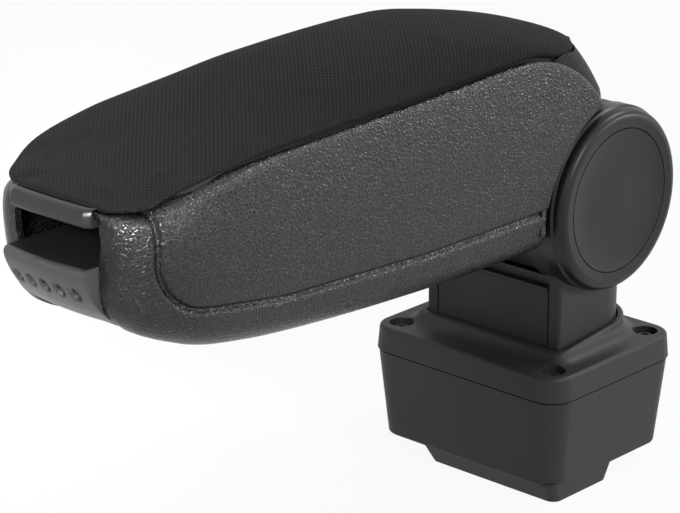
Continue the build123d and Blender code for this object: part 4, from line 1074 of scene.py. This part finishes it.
@dataclass
class RearCover:
    """Crowned cover that rounds off the arm behind the lid."""

    wall: float = 2.4
    # Distance of the lower edge from the hinge, and the angles in which it is looked for
    lower_edge: float = 46.2
    search: Tuple[float, float, int] = (60.0, 5.0, 400)
    columns: int = 92
    rows: int = 36
    # Place across, front end as an angle on the rim's arc, crown over it at the front, middle and rear
    sections: Table = (
        (0.0, 34.0, 22.6, 23.8, 29.5), (16.0, 34.0, 22.0, 23.2, 28.0), (18.0, 42.5, 19.6, 21.6, 26.4),
        (25.0, 45.0, 18.0, 19.0, 22.4), (30.0, 47.0, 15.6, 16.0, 18.0), (35.0, 50.0, 12.8, 12.4, 13.0),
        (40.0, 55.0, 8.6, 8.2, 7.8), (43.5, 65.0, 3.4, 3.4, 3.0), (45.2, 71.0, -0.8, -0.6, -0.6),
        (46.2, 73.0, -4.0, -4.0, -4.0))

    def build(self) -> bpy.types.Object:
        """Build the cover.

        Returns:
            The cover, on the arm.
        """
        table = np.array(self.sections)
        across = np.sin(np.linspace(-math.pi / 2, math.pi / 2, self.columns)) * table[-1, 0]
        front, first, middle, last = (smooth_table(table[:, 0], column, np.abs(across))
                                      for column in table.T[1:])
        share = np.linspace(0.0, 1.0, self.rows)
        outer = np.empty((self.columns, self.rows, 3))
        inner = np.empty_like(outer)
        for i, x in enumerate(across):
            crown = (1 - share) * (1 - 2 * share) * first[i] + 4 * share * (1 - share) * middle[i]
            crown += share * (2 * share - 1) * last[i]
            turn = np.radians(front[i] + (self._end_angle(last[i]) - front[i]) * share)
            for grid, drop in ((outer, 0.0), (inner, self.wall)):
                radius = RIM_ARC[2] + crown - drop
                grid[i] = np.stack([np.full(self.rows, x), RIM_ARC[0] + radius * np.cos(turn),
                                    RIM_ARC[1] + radius * np.sin(turn)], axis=1)
        mesh = bmesh.new()
        walled_grid(mesh, outer, inner, np.ones((self.columns - 1, self.rows - 1), dtype=bool))
        return mesh_piece("rear_crown", mesh, COVER_GRAIN, Body.ARM, "rear_cover")

    def _end_angle(self, crown: float) -> float:
        """Angle on the rim's arc at which the cover meets its lower edge round the hinge, in degrees.

        Args:
            crown: How far the cover stands over the arc there.

        Returns:
            The angle.
        """
        turns = np.radians(np.linspace(*self.search))
        radius = RIM_ARC[2] + crown
        away = np.hypot(RIM_ARC[0] + radius * np.cos(turns), RIM_ARC[1] + radius * np.sin(turns))
        return math.degrees(turns[np.argmin(np.abs(away - self.lower_edge))])


@dataclass
class LidPad:
    """Fabric-covered pad of the lid, sewn round its edge and drawn over foam."""

    half: float = 46.5
    # Power of the crown's curve: 2 is an ellipse
    shoulder: float = 2.35
    # Height of the rolled edge and its greatest share of the pad's height
    edge_roll: float = 2.4
    roll_share: float = 0.42
    # Where the roll turns under, as shares of it
    tuck: Tuple[float, float] = (0.3, 0.35)
    rings: int = 110
    arch: int = 44
    under: int = 7
    # The cloth is held below this height over the underside, and moves by no more than the swell
    held: float = 1.2 * MM
    swell: float = 0.8 * MM
    pressure: float = 3.0
    stiffness: float = 25.0
    bending: float = 4.0
    frames: int = 14
    # Place along the arm, draw-in of each side, underside and crown
    stations: Table = (
        (-281.0, 20.5, 59.1, 61.6), (-278.5, 15.4, 59.2, 62.8), (-275.0, 11.8, 59.3, 63.9),
        (-270.5, 9.0, 59.4, 65.2), (-267.0, 7.4, 60.8, 66.1), (-262.0, 5.6, 63.2, 67.6),
        (-254.0, 3.6, 65.6, 69.8), (-236.0, 1.6, 68.6, 73.0), (-212.0, 0.6, 70.5, 77.0),
        (-182.0, 0.2, 71.4, 81.4), (-148.0, 0.0, 72.4, 85.2), (-112.0, 0.0, 73.4, 86.0),
        (-85.0, 0.1, 74.2, 85.4), (-62.0, 0.3, 74.7, 83.6), (-52.0, 0.7, 73.9, 82.6),
        (-43.0, 1.4, 71.7, 81.4), (-25.0, 6.4, 68.2, 78.2), (-10.0, 17.2, 66.4, 74.2),
        (-3.0, 26.6, 66.2, 70.6), (1.0, 35.0, 66.2, 68.4))

    def build(self) -> bpy.types.Object:
        """Sew the pad.

        Returns:
            The finished pad, on the lid.
        """
        pad = self._sewn_form()
        self._draw_tight(pad)
        smooth = pad.modifiers.new("smooth", "SUBSURF")
        smooth.levels = 1
        smooth.render_levels = 1
        PAD_CLOTH.dress(pad)
        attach(pad, Body.LID.value)
        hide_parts("lid_cushion")
        return pad

    def _along(self) -> np.ndarray:
        """Stations of the rings: smooth in between, closer together at both ends.

        Returns:
            Place, draw-in, underside and crown of each ring.
        """
        table = np.array(self.stations)
        share = np.linspace(0.0, 1.0, self.rings)
        places = table[0, 0] + (table[-1, 0] - table[0, 0]) * (0.5 - 0.5 * np.cos(math.pi * share))
        others = [smooth_table(table[:, 0], column, places) for column in table.T[1:]]
        return np.stack([places] + others, axis=1)

    def _ring(self, draw: float, low: float, crown: float) -> np.ndarray:
        """Section of the pad: rolled lower edges under a crowned top.

        Args:
            draw: How far each side is drawn in.
            low: Height of the underside.
            crown: Height of the middle.

        Returns:
            Points (x, z) from the right edge over the crown to the left edge and back along the underside.
        """
        half = self.half - draw
        rise = crown - low
        roll = min(self.edge_roll, self.roll_share * rise)
        turn = np.linspace(0.0, math.pi, self.arch + 1)
        x = half * np.sign(np.cos(turn)) * np.abs(np.cos(turn)) ** (2 / self.shoulder)
        z = low + roll + (rise - roll) * np.sin(turn) ** (2 / self.shoulder)
        tuck = np.array([[-half + self.tuck[0] * roll, low + self.tuck[1] * roll], [-half + roll, low]])
        reach = half - 2 * roll
        under = np.stack([np.linspace(-reach, reach, self.under), np.full(self.under, low)], axis=1)
        return np.concatenate([np.stack([x, z], axis=1), tuck, under, tuck[::-1] * (-1, 1)])

    def _sewn_form(self) -> bpy.types.Object:
        """Closed mesh of rings with a map of the cloth on it.

        Returns:
            The pad before its cloth is drawn tight.
        """
        along = self._along()
        rings = [self._ring(*row[1:]) for row in along]
        count = len(rings[0])
        mesh = bmesh.new()
        layer = mesh.loops.layers.uv.new("cloth")
        grid = [[mesh.verts.new(from_hinge((x, row[0], z))) for x, z in ring]
                for row, ring in zip(along, rings)]
        spans = [run_along(ring) for ring in rings]
        middle = self.arch // 2
        for i in range(len(grid) - 1):
            for j in range(count):
                k = (j + 1) % count
                corners = ((i, j), (i + 1, j), (i + 1, k), (i, k))
                face = mesh.faces.new([grid[a][b] for a, b in corners])
                face.smooth = True
                for loop, (a, b) in zip(face.loops, corners):
                    run = spans[a][-1] if k == 0 and b == 0 else spans[a][b]
                    loop[layer].uv = ((run - spans[a][middle]) * MM, along[a][0] * MM)
        self._close(mesh, grid[0])
        self._close(mesh, grid[-1][::-1])
        bmesh.ops.recalc_face_normals(mesh, faces=mesh.faces)
        return link_mesh("lid_pad", mesh)

    @staticmethod
    def _close(mesh: bmesh.types.BMesh, ring: Sequence[bmesh.types.BMVert]) -> None:
        """Close an end of the pad with a fan.

        Args:
            mesh: Mesh to add to.
            ring: The end's ring.
        """
        hub = mesh.verts.new(sum((v.co for v in ring), Vector()) / len(ring))
        for first, second in zip(ring, list(ring[1:]) + [ring[0]]):
            mesh.faces.new((first, second, hub)).smooth = True

    def _draw_tight(self, pad: bpy.types.Object) -> None:
        """Blow the cloth up a little over its held underside, and keep the movement small.

        Args:
            pad: The pad, whose vertices are moved.
        """
        start = np.array([v.co for v in pad.data.vertices])
        held = pad.vertex_groups.new(name="held")
        low = start[:, 2] < self._floor_under(start[:, 1]) + self.held
        held.add([int(i) for i in np.flatnonzero(low)], 1.0, "REPLACE")
        cloth = pad.modifiers.new("cloth", "CLOTH")
        cloth.settings.vertex_group_mass = held.name
        cloth.settings.use_pressure = True
        cloth.settings.uniform_pressure_force = self.pressure
        cloth.settings.tension_stiffness = self.stiffness
        cloth.settings.compression_stiffness = self.stiffness
        cloth.settings.bending_stiffness = self.bending
        cloth.settings.effector_weights.gravity = 0.0
        cloth.collision_settings.use_self_collision = False
        scene = bpy.context.scene
        for number in range(1, self.frames + 1):
            scene.frame_set(number)
        drawn = pad.evaluated_get(bpy.context.evaluated_depsgraph_get())
        step = np.array([v.co for v in drawn.to_mesh().vertices]) - start
        drawn.to_mesh_clear()
        pad.modifiers.remove(cloth)
        pad.vertex_groups.clear()
        scene.frame_set(1)
        length = np.linalg.norm(step, axis=1, keepdims=True)
        step *= np.minimum(1.0, self.swell / np.maximum(length, TINY))
        pad.data.vertices.foreach_set("co", (start + step).astype(np.float32).ravel())
        pad.data.update()

    def _floor_under(self, places: np.ndarray) -> np.ndarray:
        """Height of the pad's underside at places along the arm, in metres.

        Args:
            places: Places in metres.

        Returns:
            A height for each place.
        """
        table = np.array(self.stations)
        wanted = np.clip(places / MM - HINGE[0], table[0, 0], table[-1, 0])
        return (smooth_table(table[:, 0], table[:, 2], wanted) + HINGE[1]) * MM


def stand(name: str, data: bpy.types.ID, place: Point, aim: Point) -> bpy.types.Object:
    """Add a lamp or a camera that looks at a point.

    Args:
        name: Name of the object.
        data: The lamp or camera.
        place: Where it stands.
        aim: Where it looks.

    Returns:
        The object.
    """
    stood = bpy.data.objects.new(name, data)
    stood.location = place
    stood.rotation_mode = "QUATERNION"
    stood.rotation_quaternion = (Vector(aim) - Vector(place)).to_track_quat("-Z", "Y")
    bpy.context.scene.collection.objects.link(stood)
    return stood


@dataclass(frozen=True)
class SoftBox:
    """One soft lamp; a small spread, in degrees, keeps its light on what it is aimed at."""

    name: str
    place: Point
    aim: Point
    side: float
    watts: float
    spread: float = 180.0

    def hang(self) -> None:
        """Add the lamp to the scene."""
        data = bpy.data.lights.new(self.name, "AREA")
        data.shape = "SQUARE"
        data.size = self.side
        data.energy = self.watts
        data.spread = math.radians(self.spread)
        stand(self.name, data, self.place, self.aim)


@dataclass
class Studio:
    """Pale floor, soft lamps and the camera."""

    camera_place: Point = (0.799, -0.992, 0.550)
    camera_aim: Point = (-0.0707, -0.0457, 0.0898)
    camera_reach: Tuple[float, float] = (0.05, 30.0)
    sensor: float = 36.0
    lens: float = 158.8
    floor_size: float = 6.0
    floor_level: float = 0.8
    # Share of plain white in the floor as it is seen; the rest shows the shadow
    floor_glow: float = 0.92
    sky: float = 0.27
    boxes: Tuple[SoftBox, ...] = (
        SoftBox("right_box", (1.39, -0.12, 0.81), (0.0, -0.1, 0.15), 0.25, 11.0),
        SoftBox("rear_box", (1.0, 1.15, 0.3), (0.0, -0.1, 0.15), 0.16, 5.0),
        SoftBox("top_box", (0.45, 0.95, 1.2), (0.0, -0.1, 0.2), 0.3, 9.0),
        SoftBox("front_box", (0.9, -1.3, 0.72), (-0.03, -0.34, 0.19), 0.22, 0.75, spread=14.0),
    )

    def build(self) -> None:
        """Set up everything that isn't part of the armrest."""
        bpy.context.scene.view_settings.view_transform = "Standard"
        self._camera()
        self._sky()
        self._floor()
        for box in self.boxes:
            box.hang()

    def _camera(self) -> None:
        """Stand the camera where the photograph was taken from."""
        data = bpy.data.cameras.new("camera")
        data.sensor_width = self.sensor
        data.lens = self.lens
        data.clip_start, data.clip_end = self.camera_reach
        bpy.context.scene.camera = stand("camera", data, self.camera_place, self.camera_aim)

    @staticmethod
    def _seen(tree: Tree) -> Wire:
        """1 on rays from the camera, from gloss and through glass, else 0.

        Args:
            tree: Tree of the floor or the world.

        Returns:
            The mask.
        """
        rays = [tree.add("ShaderNodeLightPath", {}, {}, name)
                for name in ("Is Camera Ray", "Is Glossy Ray", "Is Transmission Ray")]
        return (rays[0] + rays[1] + rays[2]).least(1.0)

    def _sky(self) -> None:
        """White all round for the camera, and a dimmer light for the surfaces."""
        world = bpy.data.worlds.new("studio")
        bpy.context.scene.world = world
        tree = Tree(world)
        level = self._seen(tree) * (1 - self.sky) + self.sky
        back = tree.add("ShaderNodeBackground", {}, {"Color": grey(1.0), "Strength": level})
        tree.add("ShaderNodeOutputWorld", {}, {"Surface": back})

    def _floor(self) -> None:
        """Pale floor that looks white and keeps the armrest's shadow."""
        mesh = bmesh.new()
        bmesh.ops.create_grid(mesh, x_segments=1, y_segments=1, size=self.floor_size / 2)
        floor = link_mesh("floor", mesh)
        material = bpy.data.materials.new("pale_floor")
        tree = Tree(material)
        matt = tree.add("ShaderNodeBsdfDiffuse", {}, {"Color": grey(self.floor_level)})
        glow = tree.add("ShaderNodeEmission", {}, {"Color": grey(1.0), "Strength": 1.0})
        both = tree.add("ShaderNodeMixShader", {}, {0: self._seen(tree) * self.floor_glow, 1: matt, 2: glow})
        tree.add("ShaderNodeOutputMaterial", {}, {"Surface": both})
        floor.data.materials.append(material)


def corners(box: Tuple[Vector, Vector]) -> List[List[float]]:
    """A box as plain lists of numbers."""
    return [list(box[0]), list(box[1])]


def main() -> None:
    """Build the armrest's looks in order."""
    logging.basicConfig(level=logging.INFO, format="%(name)s: %(message)s")
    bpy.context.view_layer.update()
    Studio().build()
    MouldedPieces().dress(frame["nodes"])
    skin = ArmSkin().build()
    LOG.info("%s moulded with %d vertices", skin.name, len(skin.data.vertices))
    for piece in FrontTrim().build() + [RearCover().build()]:
        LOG.info("%s built with %d vertices", piece.name, len(piece.data.vertices))
    pad = LidPad().build()
    LOG.info("%s sewn with %d vertices", pad.name, len(pad.data.vertices))


if __name__ == "__main__":
    main()
